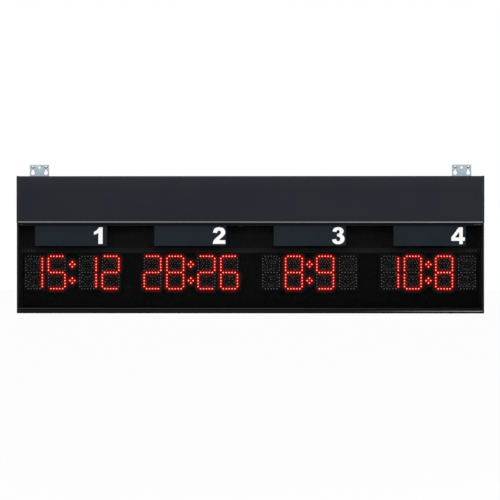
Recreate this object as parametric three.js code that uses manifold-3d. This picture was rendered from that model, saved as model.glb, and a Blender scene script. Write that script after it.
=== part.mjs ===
// A wall-hung electronic scoreboard: a folded cabinet with a hinged upper cover, a smoked
// window over four sets of LED digits, and two hanger plates that slide out of its top.
// Millimetres, +X to the viewer's right, -Y to the front, +Z up. The origin is the middle of
// the cabinet's rear face.
import * as THREE from "three";
import { mergeVertices } from "three/addons/utils/BufferGeometryUtils.js";
import Module from "manifold-3d";

const wasm = await Module();
wasm.setup();

// Cabinet
const CABINET_WIDTH = 2000;
const CABINET_HEIGHT = 588;
const CABINET_DEPTH = 92;
const SHEET = 1.5;
const SEAT_GAP = 0.3;
const CUT_OVERRUN = 2;
const TOP = CABINET_HEIGHT / 2;
const BOTTOM = -TOP;

// End caps
const CAP_THICKNESS = 6;
const CAP_RISE = 1;
const CAP_CORNER_RADIUS = 10;
const CORNER_STEPS = 5;
const INNER_HALF = CABINET_WIDTH / 2 - CAP_THICKNESS - SEAT_GAP;

// Upper cover
const COVER_HEIGHT = 192;
const COVER_END_GAP = 1;
const COVER_SEAM = 0.5;
const COVER_BEND_RADIUS = 10;
const COVER_RETURN = 16;
const COVER_BOTTOM = TOP - COVER_HEIGHT;

// Piano hinge of the cover
const HINGE_SETBACK = 30;
const KNUCKLE_RADIUS = 3;
const KNUCKLE_BORE_RADIUS = 1.75;
const PIN_RADIUS = 1.4;
const PIN_END_INSET = 4;
const HINGE_LEAF = 1.2;
const HINGE_LEAF_WIDTH = 18;
const HINGE_CLEARANCE = 0.5;
const KNUCKLE_COUNT = 12;
const KNUCKLE_SIDES = 10;
const HINGE_Z = TOP - SHEET - SEAT_GAP - HINGE_LEAF + KNUCKLE_RADIUS;
const TOP_WALL_DEPTH = HINGE_SETBACK - KNUCKLE_RADIUS - HINGE_CLEARANCE;

// Window
const WINDOW_SETBACK = 14;
const WINDOW_THICKNESS = 4;
const WINDOW_EDGE_GAP = 1;
const WINDOW_FRONT = -(CABINET_DEPTH - WINDOW_SETBACK);
const WINDOW_BACK = WINDOW_FRONT + WINDOW_THICKNESS;

// Rails above and below the window
const LIP_HEIGHT = 8;
const LIP_CHAMFER = 1.5;
const RAIL_DEPTH = 32;
const BAND_HEIGHT = 13;
const GLAZING_FLANGE = 2.2;
const GLAZING_BACK_FLANGE = 2;
const BOTTOM_RAIL_HEIGHT = 24;
const BOTTOM_RAIL_SETBACK = 6;
const BOTTOM_RAIL_WEB = 5;
const BOTTOM_RAIL_CHAMFER = 2;
const BOTTOM_RAIL_POCKET = 13;
const SHADOW_LINE_HEIGHT = 8.5;
const SHADOW_LINE_WIDTH = 1.6;
const SHADOW_LINE_DEPTH = 1;
const LIP_TOP = COVER_BOTTOM - COVER_SEAM;
const LIP_BOTTOM = LIP_TOP - LIP_HEIGHT;
const BAND_BOTTOM = LIP_BOTTOM - BAND_HEIGHT;
const RAIL_BACK = -(CABINET_DEPTH - RAIL_DEPTH);
const BOTTOM_RAIL_FRONT = -(CABINET_DEPTH - BOTTOM_RAIL_SETBACK);
const BOTTOM_RAIL_TOP = BOTTOM + BOTTOM_RAIL_HEIGHT;
const POCKET_FLOOR = BOTTOM_RAIL_TOP - BOTTOM_RAIL_POCKET;

// Magnets that hold the cover shut
const MAGNET_END_INSET = 140;
const MAGNET_RADIUS = 6;
const MAGNET_HEIGHT = 4;
const MAGNET_SIDES = 16;
const MAGNET_X = CABINET_WIDTH / 2 - MAGNET_END_INSET;
const MAGNET_Y = -(CABINET_DEPTH - COVER_RETURN / 2 - SHEET);

// Shelf between the two bays
const SHELF_DROP = 3;
const CABLE_NOTCH_WIDTH = 44;
const SHELF_WEB = 11.9;
const SHELF_TOP = LIP_TOP - SHELF_DROP;
const SHELF_BACK = -(SHEET + SEAT_GAP);
const SHELF_FRONT = RAIL_BACK + SEAT_GAP;
const CABLE_NOTCH_DEPTH = SHELF_BACK - SHELF_FRONT - SHELF_WEB;
const BAY_MIDDLE = (TOP - SHEET + SHELF_TOP) / 2;

// Four sets of digits share the cabinet's width
const SET_COUNT = 4;
const SET_END_MARGIN = 19.9;
const SET_GAP = 89.8;
const SET_WIDTH = (CABINET_WIDTH - 2 * SET_END_MARGIN - (SET_COUNT - 1) * SET_GAP) / SET_COUNT;
const SET_SPACING = SET_WIDTH + SET_GAP;

// Number plates
const PLATE_SIDE_MARGIN = 56.85;
const PLATE_WIDTH = SET_WIDTH - 2 * PLATE_SIDE_MARGIN;
const PLATE_HEIGHT = 85;
const PLATE_THICKNESS = 1;
const PLATE_CORNER_RADIUS = 2;
const PLATE_CORNER_STEPS = 3;
const PLATE_DROP = 0.5;
const PLATE_TOP = BAND_BOTTOM - PLATE_DROP;

// Light baffle between the plate strip and the LED strip: a flange on the carrier with a rib
const BAFFLE_HEIGHT = 21.5;
const BAFFLE_DROP = 9.5;
const BAFFLE_FLANGE = 2;
const BAFFLE_RIB_REACH = 3;
const BAFFLE_RIB_HEIGHT = 2.4;
const BAFFLE_RIB_RISE = 5.3;
const BAFFLE_TOP = PLATE_TOP - PLATE_HEIGHT - BAFFLE_DROP;
const BAFFLE_BOTTOM = BAFFLE_TOP - BAFFLE_HEIGHT;

// Digit boards: two on either side of each set's colon board
const DIGITS_PER_SET = 4;
const COLON_BOARD_WIDTH = 30;
const BOARD_GAP = 6.7;
const BOARD_MARGIN = 10;
const BOARD_THICKNESS = 3;
const BOARD_HEIGHT_SHARE = 0.68386;
const BOARD_DROP_SHARE = 0.01705;
const BOARD_WIDTH = (SET_WIDTH - COLON_BOARD_WIDTH) / DIGITS_PER_SET - BOARD_GAP;
const DISPLAY_TOP = BAFFLE_BOTTOM;
const DISPLAY_HEIGHT = DISPLAY_TOP - BOTTOM_RAIL_TOP;
const BOARD_HEIGHT = DISPLAY_HEIGHT * BOARD_HEIGHT_SHARE;
const DIGIT_ROW_Z = DISPLAY_TOP - DISPLAY_HEIGHT * BOARD_DROP_SHARE - BOARD_HEIGHT / 2;
const DIGIT_INNER_OFFSET = (COLON_BOARD_WIDTH + BOARD_WIDTH) / 2 + BOARD_GAP;
const DIGIT_OUTER_OFFSET = DIGIT_INNER_OFFSET + BOARD_WIDTH + BOARD_GAP;

// LED strips on a digit board: seven outer segments and the inner star
const LEDS_PER_SEGMENT = 5;
const STRIP_WIDTH = 7;
const STRIP_HEIGHT = 2.7;
const ROW_END_GAP = 10.34;
const COLUMN_END_GAP = 9.6;
const DIAGONAL_CENTRE_GAP = 11.5;
const DIAGONAL_SIDE_GAP = 11.25;
const DIAGONAL_END_GAP = 17;
const DIGIT_COLUMN_SPACING = BOARD_WIDTH - 2 * BOARD_MARGIN;
const DIGIT_ROW_SPACING = BOARD_HEIGHT / 2 - BOARD_MARGIN;
const ROW_LENGTH = DIGIT_COLUMN_SPACING - 2 * ROW_END_GAP;
const COLUMN_LENGTH = DIGIT_ROW_SPACING - 2 * COLUMN_END_GAP;
const COLUMN_LED_PITCH = COLUMN_LENGTH / (LEDS_PER_SEGMENT - 1);

// Colons
const COLON_HALF_DIAGONAL = 16;
const COLON_WAIST_SHARE = 0.92;
const COLON_MARGIN = 5;
const COLON_OFFSET = DIGIT_ROW_SPACING / 2;
const COLON_BOARD_HEIGHT = 2 * (COLON_OFFSET + COLON_HALF_DIAGONAL + COLON_MARGIN);

// Carrier of the LED modules
const CARRIER_STANDOFF = 36.5;
const CARRIER_FLANGE = 10;
const CARRIER_TOP_GAP = 3;
const CARRIER_BOTTOM_GAP = 1;
const CARRIER_RAIL_WIDTH = 30;
const CARRIER_RAIL_DROP = 114.7;
const CARRIER_RAIL_END_INSET = 400;
const CARRIER_END_GAP = 4;
const CARRIER_BACK = -CARRIER_STANDOFF;
const CARRIER_FRONT = CARRIER_BACK - SHEET;
const CARRIER_TOP = BAND_BOTTOM - CARRIER_TOP_GAP;
const CARRIER_BOTTOM = BOTTOM_RAIL_TOP + CARRIER_BOTTOM_GAP;
const BOARD_FRONT = CARRIER_FRONT - SEAT_GAP - BOARD_THICKNESS;
const CARRIER_RAIL_X = CABINET_WIDTH / 2 - CARRIER_RAIL_END_INSET;
const CARRIER_RAIL_TOP = CARRIER_TOP - CARRIER_RAIL_DROP;
const CARRIER_RAIL_BOTTOM = CARRIER_BOTTOM + SHEET + SEAT_GAP;

// Hanger plates
const HANGER_END_INSET = 81;
const HANGER_WIDTH = 84;
const HANGER_RISE = 54.5;
const HANGER_LENGTH = 176;
const HANGER_THICKNESS = 3;
const HANGER_TRAVEL = 53;
const HANGER_SLOT_CLEARANCE = 1;
const KEYHOLE_SPACING = 57;
const KEYHOLE_RADIUS = 8.3;
const KEYHOLE_NECK_RADIUS = 4.3;
const KEYHOLE_DROP = 36;
const KEYHOLE_NECK_LENGTH = 11;
const SMALL_HOLE_RADIUS = 3.6;
const SMALL_HOLE_DROP = 8;
const CENTRE_HOLE_RADIUS = 5.5;
const CENTRE_HOLE_DROP = 12.2;
const HOLE_SIDES = 16;
const HANGER_X = CABINET_WIDTH / 2 - HANGER_END_INSET;
const HANGER_TOP = TOP + HANGER_RISE;
const HANGER_BACK = -(SHEET + SEAT_GAP);
const HANGER_FRONT = HANGER_BACK - HANGER_THICKNESS;

// Flush rivets in the back wall, and countersunk screws in the end caps
const RIVET_RADIUS = 4.5;
const RIVET_RECESS = 0.8;
const RIVET_SIDES = 12;
const RAIL_RIVET_INSET = 30;
const CORNER_RIVET_INSET = 12;
const CAP_SCREW_RADIUS = 4.5;
const CAP_SCREW_RECESS = 2;
const CAP_SCREW_SETBACK = 16;
const CAP_SCREW_END_INSET = 44;

// Clamp stud and nut of a hanger plate
const STUD_RADIUS = 4;
const STUD_LENGTH = 13;
const STUD_CLEARANCE = 0.3;
const STUD_FOOT = 14;
const NUT_RADIUS = 9;
const NUT_THICKNESS = 6;
const NUT_SIDES = 6;
const STUD_SIDES = 12;
const STUD_Z = HANGER_TOP - HANGER_LENGTH + STUD_FOOT;

// Power supply
const SUPPLY_END_INSET = 310;
const SUPPLY_WIDTH = 215;
const SUPPLY_HEIGHT = 115;
const SUPPLY_DEPTH = 50;
const SUPPLY_LEDGE_WIDTH = 24;
const SUPPLY_LEDGE_DEPTH = 26;
const SUPPLY_X = CABINET_WIDTH / 2 - SUPPLY_END_INSET;
const SUPPLY_Z = BAY_MIDDLE;
const SUPPLY_LEFT = SUPPLY_X - SUPPLY_WIDTH / 2;
const SUPPLY_RIGHT = SUPPLY_X + SUPPLY_WIDTH / 2;
const SUPPLY_BACK = -(SHEET + SEAT_GAP);

// Control board
const CONTROL_X = -40;
const CONTROL_WIDTH = 200;
const CONTROL_HEIGHT = 110;
const CONTROL_BOARD = 1.6;
const STANDOFF_HEIGHT = 10;
const STANDOFF_RADIUS = 3.5;
const STANDOFF_INSET = 8;
const STANDOFF_SIDES = 8;
const CHIP_WIDTH = 34;
const CHIP_HEIGHT = 26;
const CHIP_DEPTH = 4;
const CAPACITOR_RADIUS = 7;
const CAPACITOR_HEIGHT = 16;
const CAPACITOR_SPACING = 22;
const HEADER_WIDTH = 30;
const HEADER_HEIGHT = 9;
const HEADER_DEPTH = 9;
const CONTROL_Z = BAY_MIDDLE;
const CONTROL_BACK = -(SHEET + SEAT_GAP);
const CONTROL_FACE = CONTROL_BACK - STANDOFF_HEIGHT - CONTROL_BOARD;

// Radio receiver and its antenna
const RADIO_X = 240;
const RADIO_WIDTH = 70;
const RADIO_HEIGHT = 50;
const RADIO_DEPTH = 22;
const RADIO_Z = BAY_MIDDLE;
const ANTENNA_RADIUS = 4;
const ANTENNA_LENGTH = 84;
const ANTENNA_SIDES = 10;
const ANTENNA_EDGE_GAP = 7.7;
const ANTENNA_Y = SHELF_FRONT + ANTENNA_EDGE_GAP;
const ANTENNA_CLIP_WIDTH = 10;

// Mains inlet, fuse drawer and rocker switch
const INLET_END_INSET = 128;
const INLET_Y = -13;
const INLET_FLANGE_WIDTH = 86;
const INLET_FLANGE_DEPTH = 25;
const INLET_FLANGE_THICKNESS = 2;
const INLET_BODY_WIDTH = 78;
const INLET_BODY_DEPTH = 21;
const INLET_BODY_HEIGHT = 38;
const INLET_CUTOUT_GAP = 0.5;
const SOCKET_OFFSET = -24;
const SOCKET_WIDTH = 23;
const SOCKET_DEPTH = 15.6;
const SOCKET_RECESS = 17;
const SOCKET_CHAMFER = 4;
const PIN_OFFSET = 7;
const PIN_SPREAD = 2;
const PIN_BLADE_WIDTH = 2;
const PIN_BLADE_DEPTH = 4;
const PIN_BLADE_LENGTH = 14;
const DRAWER_OFFSET = -2;
const DRAWER_WIDTH = 11;
const DRAWER_DEPTH = 16;
const DRAWER_HEIGHT = 24;
const DRAWER_LIP = 1.5;
const SWITCH_OFFSET = 22;
const SWITCH_WIDTH = 22;
const SWITCH_DEPTH = 14;
const SWITCH_POCKET = 14;
const SWITCH_THROW_DEG = 10;
const SWITCH_PIVOT_RISE = 7;
const SWITCH_KEY_DROP = 5;
const SWITCH_EDGE_HEIGHT = 4;
const SWITCH_DISH = 1.6;
const ROCKER_END_GAP = 1.2;
const FIT_GAP = 0.4;
const INLET_X = CABINET_WIDTH / 2 - INLET_END_INSET;
const FLANGE_TOP = BOTTOM - SEAT_GAP;
const FLANGE_FACE = FLANGE_TOP - INLET_FLANGE_THICKNESS;
const INLET_TOP = FLANGE_TOP + INLET_BODY_HEIGHT;

// Leads inside the cabinet
const MAINS_LEAD_RADIUS = 3.5;
const LEAD_BEND_RADIUS = 26;
const LEAD_SIDES = 8;
const HARNESS_RADIUS = 4.5;
const HARNESS_DROP = 57.5;
const HARNESS_END_INSET = 140;
const HARNESS_Z = CARRIER_TOP - HARNESS_DROP;
const HARNESS_END_X = CABINET_WIDTH / 2 - HARNESS_END_INSET;
const HARNESS_RISE_X = SUPPLY_LEFT - CABLE_NOTCH_WIDTH;
const HARNESS_Y = SUPPLY_BACK - SUPPLY_LEDGE_DEPTH / 2;
const RIBBON_WIDTH = 20;
const RIBBON_THICKNESS = 1.2;
const RIBBON_DROP = 32.5;
const RIBBON_END_INSET = 160;
const RIBBON_Z = CARRIER_TOP - RIBBON_DROP;
const RIBBON_HALF_LENGTH = CABINET_WIDTH / 2 - RIBBON_END_INSET;

const scoreboard = new THREE.Group();

// Finishes, each a function so that every mesh has its own material.
const finish = (color, roughness, metalness) => () =>
  new THREE.MeshStandardMaterial({ color, roughness, metalness });
const charcoal = finish(0x27282d, 0.62, 0.1);
const capBlack = finish(0x1e1f23, 0.6, 0.1);
const railDark = finish(0x202124, 0.45, 0.4);
const lipGrey = finish(0x63646a, 0.4, 0.7);
const galvanised = finish(0xa0afb9, 0.45, 0.8);
const plateVinyl = finish(0x2b2e35, 0.7, 0);
const blackMask = finish(0x0b0b0d, 0.8, 0);
const boardBlack = finish(0x101114, 0.7, 0);
const boardGreen = finish(0x1d4a2b, 0.5, 0.1);
const steelZinc = finish(0xb4b8bb, 0.4, 0.8);
const supplySteel = finish(0xa9acae, 0.45, 0.7);
const plasticBlack = finish(0x141416, 0.5, 0);
const pinBrass = finish(0xb9a46a, 0.35, 0.9);
const leadGrey = finish(0x2a2a2c, 0.6, 0);
const ribbonGrey = finish(0x9a9ca0, 0.6, 0);
const magnetNickel = finish(0xc0c2c5, 0.3, 0.9);
const smokedWindow = () =>
  new THREE.MeshStandardMaterial({
    color: 0x0c0c0e,
    roughness: 0.08,
    metalness: 0,
    transparent: true,
    opacity: 0.6,
  });

// A closed geometry as a solid that can be joined and cut.
function solid(geometry) {
  const bare = geometry.clone();
  bare.deleteAttribute("normal");
  bare.deleteAttribute("uv");
  const merged = mergeVertices(bare);
  return new wasm.Manifold(
    new wasm.Mesh({
      numProp: 3,
      vertProperties: new Float32Array(merged.attributes.position.array),
      triVerts: new Uint32Array(merged.index.array),
    }),
  );
}

// A joined or cut solid as a geometry again.
function geometryOf(manifold) {
  const mesh = manifold.getMesh();
  const geometry = new THREE.BufferGeometry();
  geometry.setAttribute("position", new THREE.BufferAttribute(mesh.vertProperties, mesh.numProp));
  geometry.setIndex(new THREE.BufferAttribute(mesh.triVerts, 1));
  geometry.computeVertexNormals();
  return geometry;
}

const union = (...pieces) => pieces.reduce((joined, piece) => joined.add(piece));
const carve = (body, ...cutters) => cutters.reduce((left, cutter) => left.subtract(cutter), body);

// Adds one named mesh to a group.
function place(name, shape, makeMaterial, parent = scoreboard) {
  const geometry = shape.isBufferGeometry ? shape : geometryOf(shape);
  const mesh = new THREE.Mesh(geometry, makeMaterial());
  mesh.name = name;
  parent.add(mesh);
  return mesh;
}

// A block between two corners.
function block(low, high) {
  const size = high.map((value, i) => value - low[i]);
  const middle = high.map((value, i) => (value + low[i]) / 2);
  return new THREE.BoxGeometry(...size).translate(...middle);
}

const shapeOf = (points) => new THREE.Shape(points.map(([u, v]) => new THREE.Vector2(u, v)));

function extruded(shape, length) {
  return new THREE.ExtrudeGeometry(shape, { depth: length, bevelEnabled: false });
}

const AXIS = {
  x: new THREE.Vector3(1, 0, 0),
  y: new THREE.Vector3(0, 1, 0),
  z: new THREE.Vector3(0, 0, 1),
};
const ACROSS = new THREE.Matrix4().makeBasis(AXIS.y, AXIS.z, AXIS.x);
const FORWARD = new THREE.Matrix4().makeBasis(AXIS.x, AXIS.z, AXIS.y.clone().negate());

// A (Y, Z) outline run along X from x0 to x1.
function alongX(shape, x0, x1) {
  return extruded(shape, x1 - x0).applyMatrix4(ACROSS).translate(x0, 0, 0);
}

// An (X, Z) outline run forward from the plane y = back by a thickness.
function forwardFrom(shape, back, thickness) {
  return extruded(shape, thickness).applyMatrix4(FORWARD).translate(0, back, 0);
}

// An (X, Y) outline run up from z0 to z1.
function alongZ(shape, z0, z1) {
  return extruded(shape, z1 - z0).translate(0, 0, z0);
}

// A regular polygon's corners, with a flat side at the start angle's half step.
function ringPoints(centreU, centreV, radius, sides) {
  return Array.from({ length: sides }, (_, i) => {
    const angle = (2 * Math.PI * (i + 0.5)) / sides;
    return [centreU + radius * Math.cos(angle), centreV + radius * Math.sin(angle)];
  });
}

// The points of an arc, both ends included.
function arcPoints(centreU, centreV, radius, startDeg, endDeg, steps) {
  return Array.from({ length: steps + 1 }, (_, i) => {
    const angle = THREE.MathUtils.degToRad(startDeg + ((endDeg - startDeg) * i) / steps);
    return [centreU + radius * Math.cos(angle), centreV + radius * Math.sin(angle)];
  });
}

function pathOf(points) {
  return new THREE.Path(points.map(([u, v]) => new THREE.Vector2(u, v)));
}

// The folded rear shell: back, top and bottom walls in one sheet.
function rearShell() {
  const inside = -SHEET;
  const bottomReach = RAIL_BACK + SEAT_GAP;
  const outline = shapeOf([
    [0, BOTTOM],
    [0, TOP],
    [-TOP_WALL_DEPTH, TOP],
    [-TOP_WALL_DEPTH, TOP - SHEET],
    [inside, TOP - SHEET],
    [inside, BOTTOM + SHEET],
    [bottomReach, BOTTOM + SHEET],
    [bottomReach, BOTTOM],
  ]);
  const shell = solid(alongX(outline, -INNER_HALF, INNER_HALF));
  const slots = [-1, 1].map((side) => solid(hangerSlot(side)));
  return carve(shell, ...slots, solid(inletCutout()), ...rivetPlaces().map(rivetRecess));
}

// Where flush rivets hold the carrier rails, the supply and the control board, as (x, z) points.
function rivetPlaces() {
  const railZ = [CARRIER_RAIL_BOTTOM + RAIL_RIVET_INSET, CARRIER_RAIL_TOP - RAIL_RIVET_INSET];
  const atCorners = (x, z, width, height) => {
    const reachX = width / 2 - CORNER_RIVET_INSET;
    const reachZ = height / 2 - CORNER_RIVET_INSET;
    return [-1, 1].flatMap((u) => [-1, 1].map((v) => [x + u * reachX, z + v * reachZ]));
  };
  return [
    ...[-CARRIER_RAIL_X, 0, CARRIER_RAIL_X].flatMap((x) => railZ.map((z) => [x, z])),
    ...atCorners(SUPPLY_X, SUPPLY_Z, SUPPLY_WIDTH, SUPPLY_HEIGHT),
    ...atCorners(CONTROL_X, CONTROL_Z, CONTROL_WIDTH, CONTROL_HEIGHT),
  ];
}

function rivetRecess([x, z]) {
  const ring = shapeOf(ringPoints(x, z, RIVET_RADIUS, RIVET_SIDES));
  return solid(forwardFrom(ring, CUT_OVERRUN, CUT_OVERRUN + RIVET_RECESS));
}

// The slot in the top wall that a hanger plate slides through.
function hangerSlot(side) {
  const halfWidth = HANGER_WIDTH / 2 + HANGER_SLOT_CLEARANCE;
  return block(
    [side * HANGER_X - halfWidth, HANGER_FRONT - HANGER_SLOT_CLEARANCE, TOP - SHEET - CUT_OVERRUN],
    [side * HANGER_X + halfWidth, HANGER_BACK + SEAT_GAP / 2, TOP + CUT_OVERRUN],
  );
}

function inletCutout() {
  const halfWidth = INLET_BODY_WIDTH / 2 + INLET_CUTOUT_GAP;
  const halfDepth = INLET_BODY_DEPTH / 2 + INLET_CUTOUT_GAP;
  return block(
    [INLET_X - halfWidth, INLET_Y - halfDepth, BOTTOM - CUT_OVERRUN],
    [INLET_X + halfWidth, INLET_Y + halfDepth, BOTTOM + SHEET + CUT_OVERRUN],
  );
}

// The outline that both end caps share: deep over the cover, shallower over the window.
function capOutline() {
  const crown = TOP + CAP_RISE;
  const cornerY = -CABINET_DEPTH + CAP_CORNER_RADIUS;
  return shapeOf([
    [0, BOTTOM],
    [0, crown],
    ...arcPoints(cornerY, crown - CAP_CORNER_RADIUS, CAP_CORNER_RADIUS, 90, 180, CORNER_STEPS),
    [-CABINET_DEPTH, LIP_BOTTOM],
    [BOTTOM_RAIL_FRONT, LIP_BOTTOM],
    [BOTTOM_RAIL_FRONT, BOTTOM],
  ]);
}

// An end cap, sunk where its screws go: three near the back and one into each rail.
function endCap(side) {
  const outer = (side * CABINET_WIDTH) / 2;
  const run = (shape, from, to) => solid(alongX(shape, Math.min(from, to), Math.max(from, to)));
  const high = TOP - CAP_SCREW_END_INSET;
  const places = [
    [-CAP_SCREW_SETBACK, high],
    [-CAP_SCREW_SETBACK, 0],
    [-CAP_SCREW_SETBACK, -high],
    [(RAIL_BACK - CABINET_DEPTH) / 2, (LIP_TOP + BAND_BOTTOM) / 2],
    [(RAIL_BACK + BOTTOM_RAIL_FRONT) / 2, (BOTTOM + BOTTOM_RAIL_TOP) / 2],
  ];
  const sinks = places.map(([y, z]) => {
    const ring = shapeOf(ringPoints(y, z, CAP_SCREW_RADIUS, HOLE_SIDES));
    return run(ring, outer - side * CAP_SCREW_RECESS, outer + side * CUT_OVERRUN);
  });
  return carve(run(capOutline(), outer - side * CAP_THICKNESS, outer), ...sinks);
}

// The upper cover: front, rounded top bend, top flange and a return along its lower edge.
function upperCover() {
  const front = -CABINET_DEPTH;
  const bendY = front + COVER_BEND_RADIUS;
  const bendZ = TOP - COVER_BEND_RADIUS;
  const flangeEnd = -(HINGE_SETBACK + KNUCKLE_RADIUS + HINGE_CLEARANCE);
  const innerRadius = COVER_BEND_RADIUS - SHEET;
  const outline = shapeOf([
    [front, COVER_BOTTOM],
    ...arcPoints(bendY, bendZ, COVER_BEND_RADIUS, 180, 90, CORNER_STEPS),
    [flangeEnd, TOP],
    [flangeEnd, TOP - SHEET],
    ...arcPoints(bendY, bendZ, innerRadius, 90, 180, CORNER_STEPS),
    [front + SHEET, COVER_BOTTOM + SHEET],
    [front + COVER_RETURN, COVER_BOTTOM + SHEET],
    [front + COVER_RETURN, COVER_BOTTOM],
  ]);
  const halfLength = INNER_HALF - COVER_END_GAP;
  return solid(alongX(outline, -halfLength, halfLength));
}

// One leaf of the piano hinge: a strip with every second knuckle. side is 1 for the fixed
// leaf, which lies behind the pin, and -1 for the cover's leaf in front of it.
function hingeLeaf(side) {
  const pinY = -HINGE_SETBACK;
  const leafBottom = HINGE_Z - KNUCKLE_RADIUS;
  const leafTop = leafBottom + HINGE_LEAF;
  const halfLength = INNER_HALF - COVER_END_GAP;
  const pitch = (2 * halfLength) / KNUCKLE_COUNT;
  const nearEdge = pinY + side * (KNUCKLE_RADIUS + HINGE_CLEARANCE);
  const farEdge = pinY + side * HINGE_LEAF_WIDTH;
  const [low, high] = [Math.min(nearEdge, farEdge), Math.max(nearEdge, farEdge)];
  let leaf = solid(block([-halfLength, low, leafBottom], [halfLength, high, leafTop]));
  const first = side > 0 ? 0 : 1;
  for (let i = first; i < KNUCKLE_COUNT; i += 2) {
    const x0 = -halfLength + i * pitch + HINGE_CLEARANCE / 2;
    const x1 = -halfLength + (i + 1) * pitch - HINGE_CLEARANCE / 2;
    const tail = block(
      [x0, Math.min(pinY, nearEdge + side), leafBottom],
      [x1, Math.max(pinY, nearEdge + side), leafTop],
    );
    const barrel = alongX(shapeOf(ringPoints(pinY, HINGE_Z, KNUCKLE_RADIUS, KNUCKLE_SIDES)), x0, x1);
    leaf = union(leaf, solid(tail), solid(barrel));
  }
  const bore = ringPoints(pinY, HINGE_Z, KNUCKLE_BORE_RADIUS, KNUCKLE_SIDES);
  const reach = halfLength + CUT_OVERRUN;
  return leaf.subtract(solid(alongX(shapeOf(bore), -reach, reach)));
}

function hingePin() {
  const halfLength = INNER_HALF - PIN_END_INSET;
  const section = shapeOf(ringPoints(-HINGE_SETBACK, HINGE_Z, PIN_RADIUS, KNUCKLE_SIDES));
  return alongX(section, -halfLength, halfLength);
}

// The rail between cover and window: a bright nose, and two flanges that hold the glazing.
function midRail() {
  const flangeBack = WINDOW_FRONT - SEAT_GAP;
  const grooveBack = WINDOW_BACK + SEAT_GAP;
  const outline = shapeOf([
    [-CABINET_DEPTH, LIP_BOTTOM],
    [-CABINET_DEPTH, LIP_TOP - LIP_CHAMFER],
    [-CABINET_DEPTH + LIP_CHAMFER, LIP_TOP],
    [RAIL_BACK, LIP_TOP],
    [RAIL_BACK, LIP_BOTTOM],
    [grooveBack + GLAZING_BACK_FLANGE, LIP_BOTTOM],
    [grooveBack + GLAZING_BACK_FLANGE, BAND_BOTTOM],
    [grooveBack, BAND_BOTTOM],
    [grooveBack, LIP_BOTTOM],
    [flangeBack, LIP_BOTTOM],
    [flangeBack, BAND_BOTTOM],
    [flangeBack - GLAZING_FLANGE, BAND_BOTTOM],
    [flangeBack - GLAZING_FLANGE, LIP_BOTTOM],
  ]);
  let rail = solid(alongX(outline, -INNER_HALF, INNER_HALF));
  for (const side of [-1, 1]) rail = rail.subtract(solid(magnetDisc(side, SEAT_GAP, CUT_OVERRUN)));
  return rail;
}

// A magnet, or with a clearance its pocket in the mid rail.
function magnetDisc(side, clearance, overrun) {
  const z0 = LIP_TOP - MAGNET_HEIGHT - clearance;
  const points = ringPoints(side * MAGNET_X, MAGNET_Y, MAGNET_RADIUS + clearance, MAGNET_SIDES);
  return alongZ(shapeOf(points), z0, LIP_TOP + overrun);
}

// The bottom rail: a front flange with a shadow line, a pocket for the window's edge.
function bottomRail() {
  const flangeBack = WINDOW_FRONT - SEAT_GAP;
  const grooveBack = WINDOW_BACK + SEAT_GAP;
  const lineZ = BOTTOM + SHADOW_LINE_HEIGHT;
  const outline = shapeOf([
    [BOTTOM_RAIL_FRONT, BOTTOM],
    [RAIL_BACK, BOTTOM],
    [RAIL_BACK, BOTTOM + BOTTOM_RAIL_WEB],
    [grooveBack + GLAZING_BACK_FLANGE, BOTTOM + BOTTOM_RAIL_WEB],
    [grooveBack + GLAZING_BACK_FLANGE, BOTTOM_RAIL_TOP],
    [grooveBack, BOTTOM_RAIL_TOP],
    [grooveBack, POCKET_FLOOR],
    [flangeBack, POCKET_FLOOR],
    [flangeBack, BOTTOM_RAIL_TOP],
    [BOTTOM_RAIL_FRONT + BOTTOM_RAIL_CHAMFER, BOTTOM_RAIL_TOP],
    [BOTTOM_RAIL_FRONT, BOTTOM_RAIL_TOP - BOTTOM_RAIL_CHAMFER],
    [BOTTOM_RAIL_FRONT, lineZ + SHADOW_LINE_WIDTH],
    [BOTTOM_RAIL_FRONT + SHADOW_LINE_DEPTH, lineZ + SHADOW_LINE_WIDTH / 2],
    [BOTTOM_RAIL_FRONT, lineZ],
  ]);
  return alongX(outline, -INNER_HALF, INNER_HALF);
}

function windowPane() {
  const halfLength = INNER_HALF - WINDOW_EDGE_GAP;
  return block(
    [-halfLength, WINDOW_FRONT, POCKET_FLOOR + SEAT_GAP],
    [halfLength, WINDOW_BACK, LIP_BOTTOM - WINDOW_EDGE_GAP],
  );
}

// The shelf between the bays, with notches for the leads at its rear edge.
function bayShelf() {
  const notch = (x) =>
    solid(
      block(
        [x - CABLE_NOTCH_WIDTH / 2, SHELF_BACK - CABLE_NOTCH_DEPTH, SHELF_TOP - SHEET - CUT_OVERRUN],
        [x + CABLE_NOTCH_WIDTH / 2, SHELF_BACK + CUT_OVERRUN, SHELF_TOP + CUT_OVERRUN],
      ),
    );
  const shelf = solid(
    block([-INNER_HALF, SHELF_FRONT, SHELF_TOP - SHEET], [INNER_HALF, SHELF_BACK, SHELF_TOP]),
  );
  return carve(shelf, notch(INLET_X), notch(HARNESS_RISE_X), notch(CONTROL_X));
}

// Number plates: thin rounded plates on the window, one over each set.
function numberPlate() {
  const halfWidth = PLATE_WIDTH / 2 - PLATE_CORNER_RADIUS;
  const halfHeight = PLATE_HEIGHT / 2 - PLATE_CORNER_RADIUS;
  const corner = (u, v, start) =>
    arcPoints(u, v, PLATE_CORNER_RADIUS, start, start + 90, PLATE_CORNER_STEPS);
  const outline = shapeOf([
    ...corner(halfWidth, halfHeight, 0),
    ...corner(-halfWidth, halfHeight, 90),
    ...corner(-halfWidth, -halfHeight, 180),
    ...corner(halfWidth, -halfHeight, 270),
  ]);
  return forwardFrom(outline, 0, PLATE_THICKNESS);
}

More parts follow.
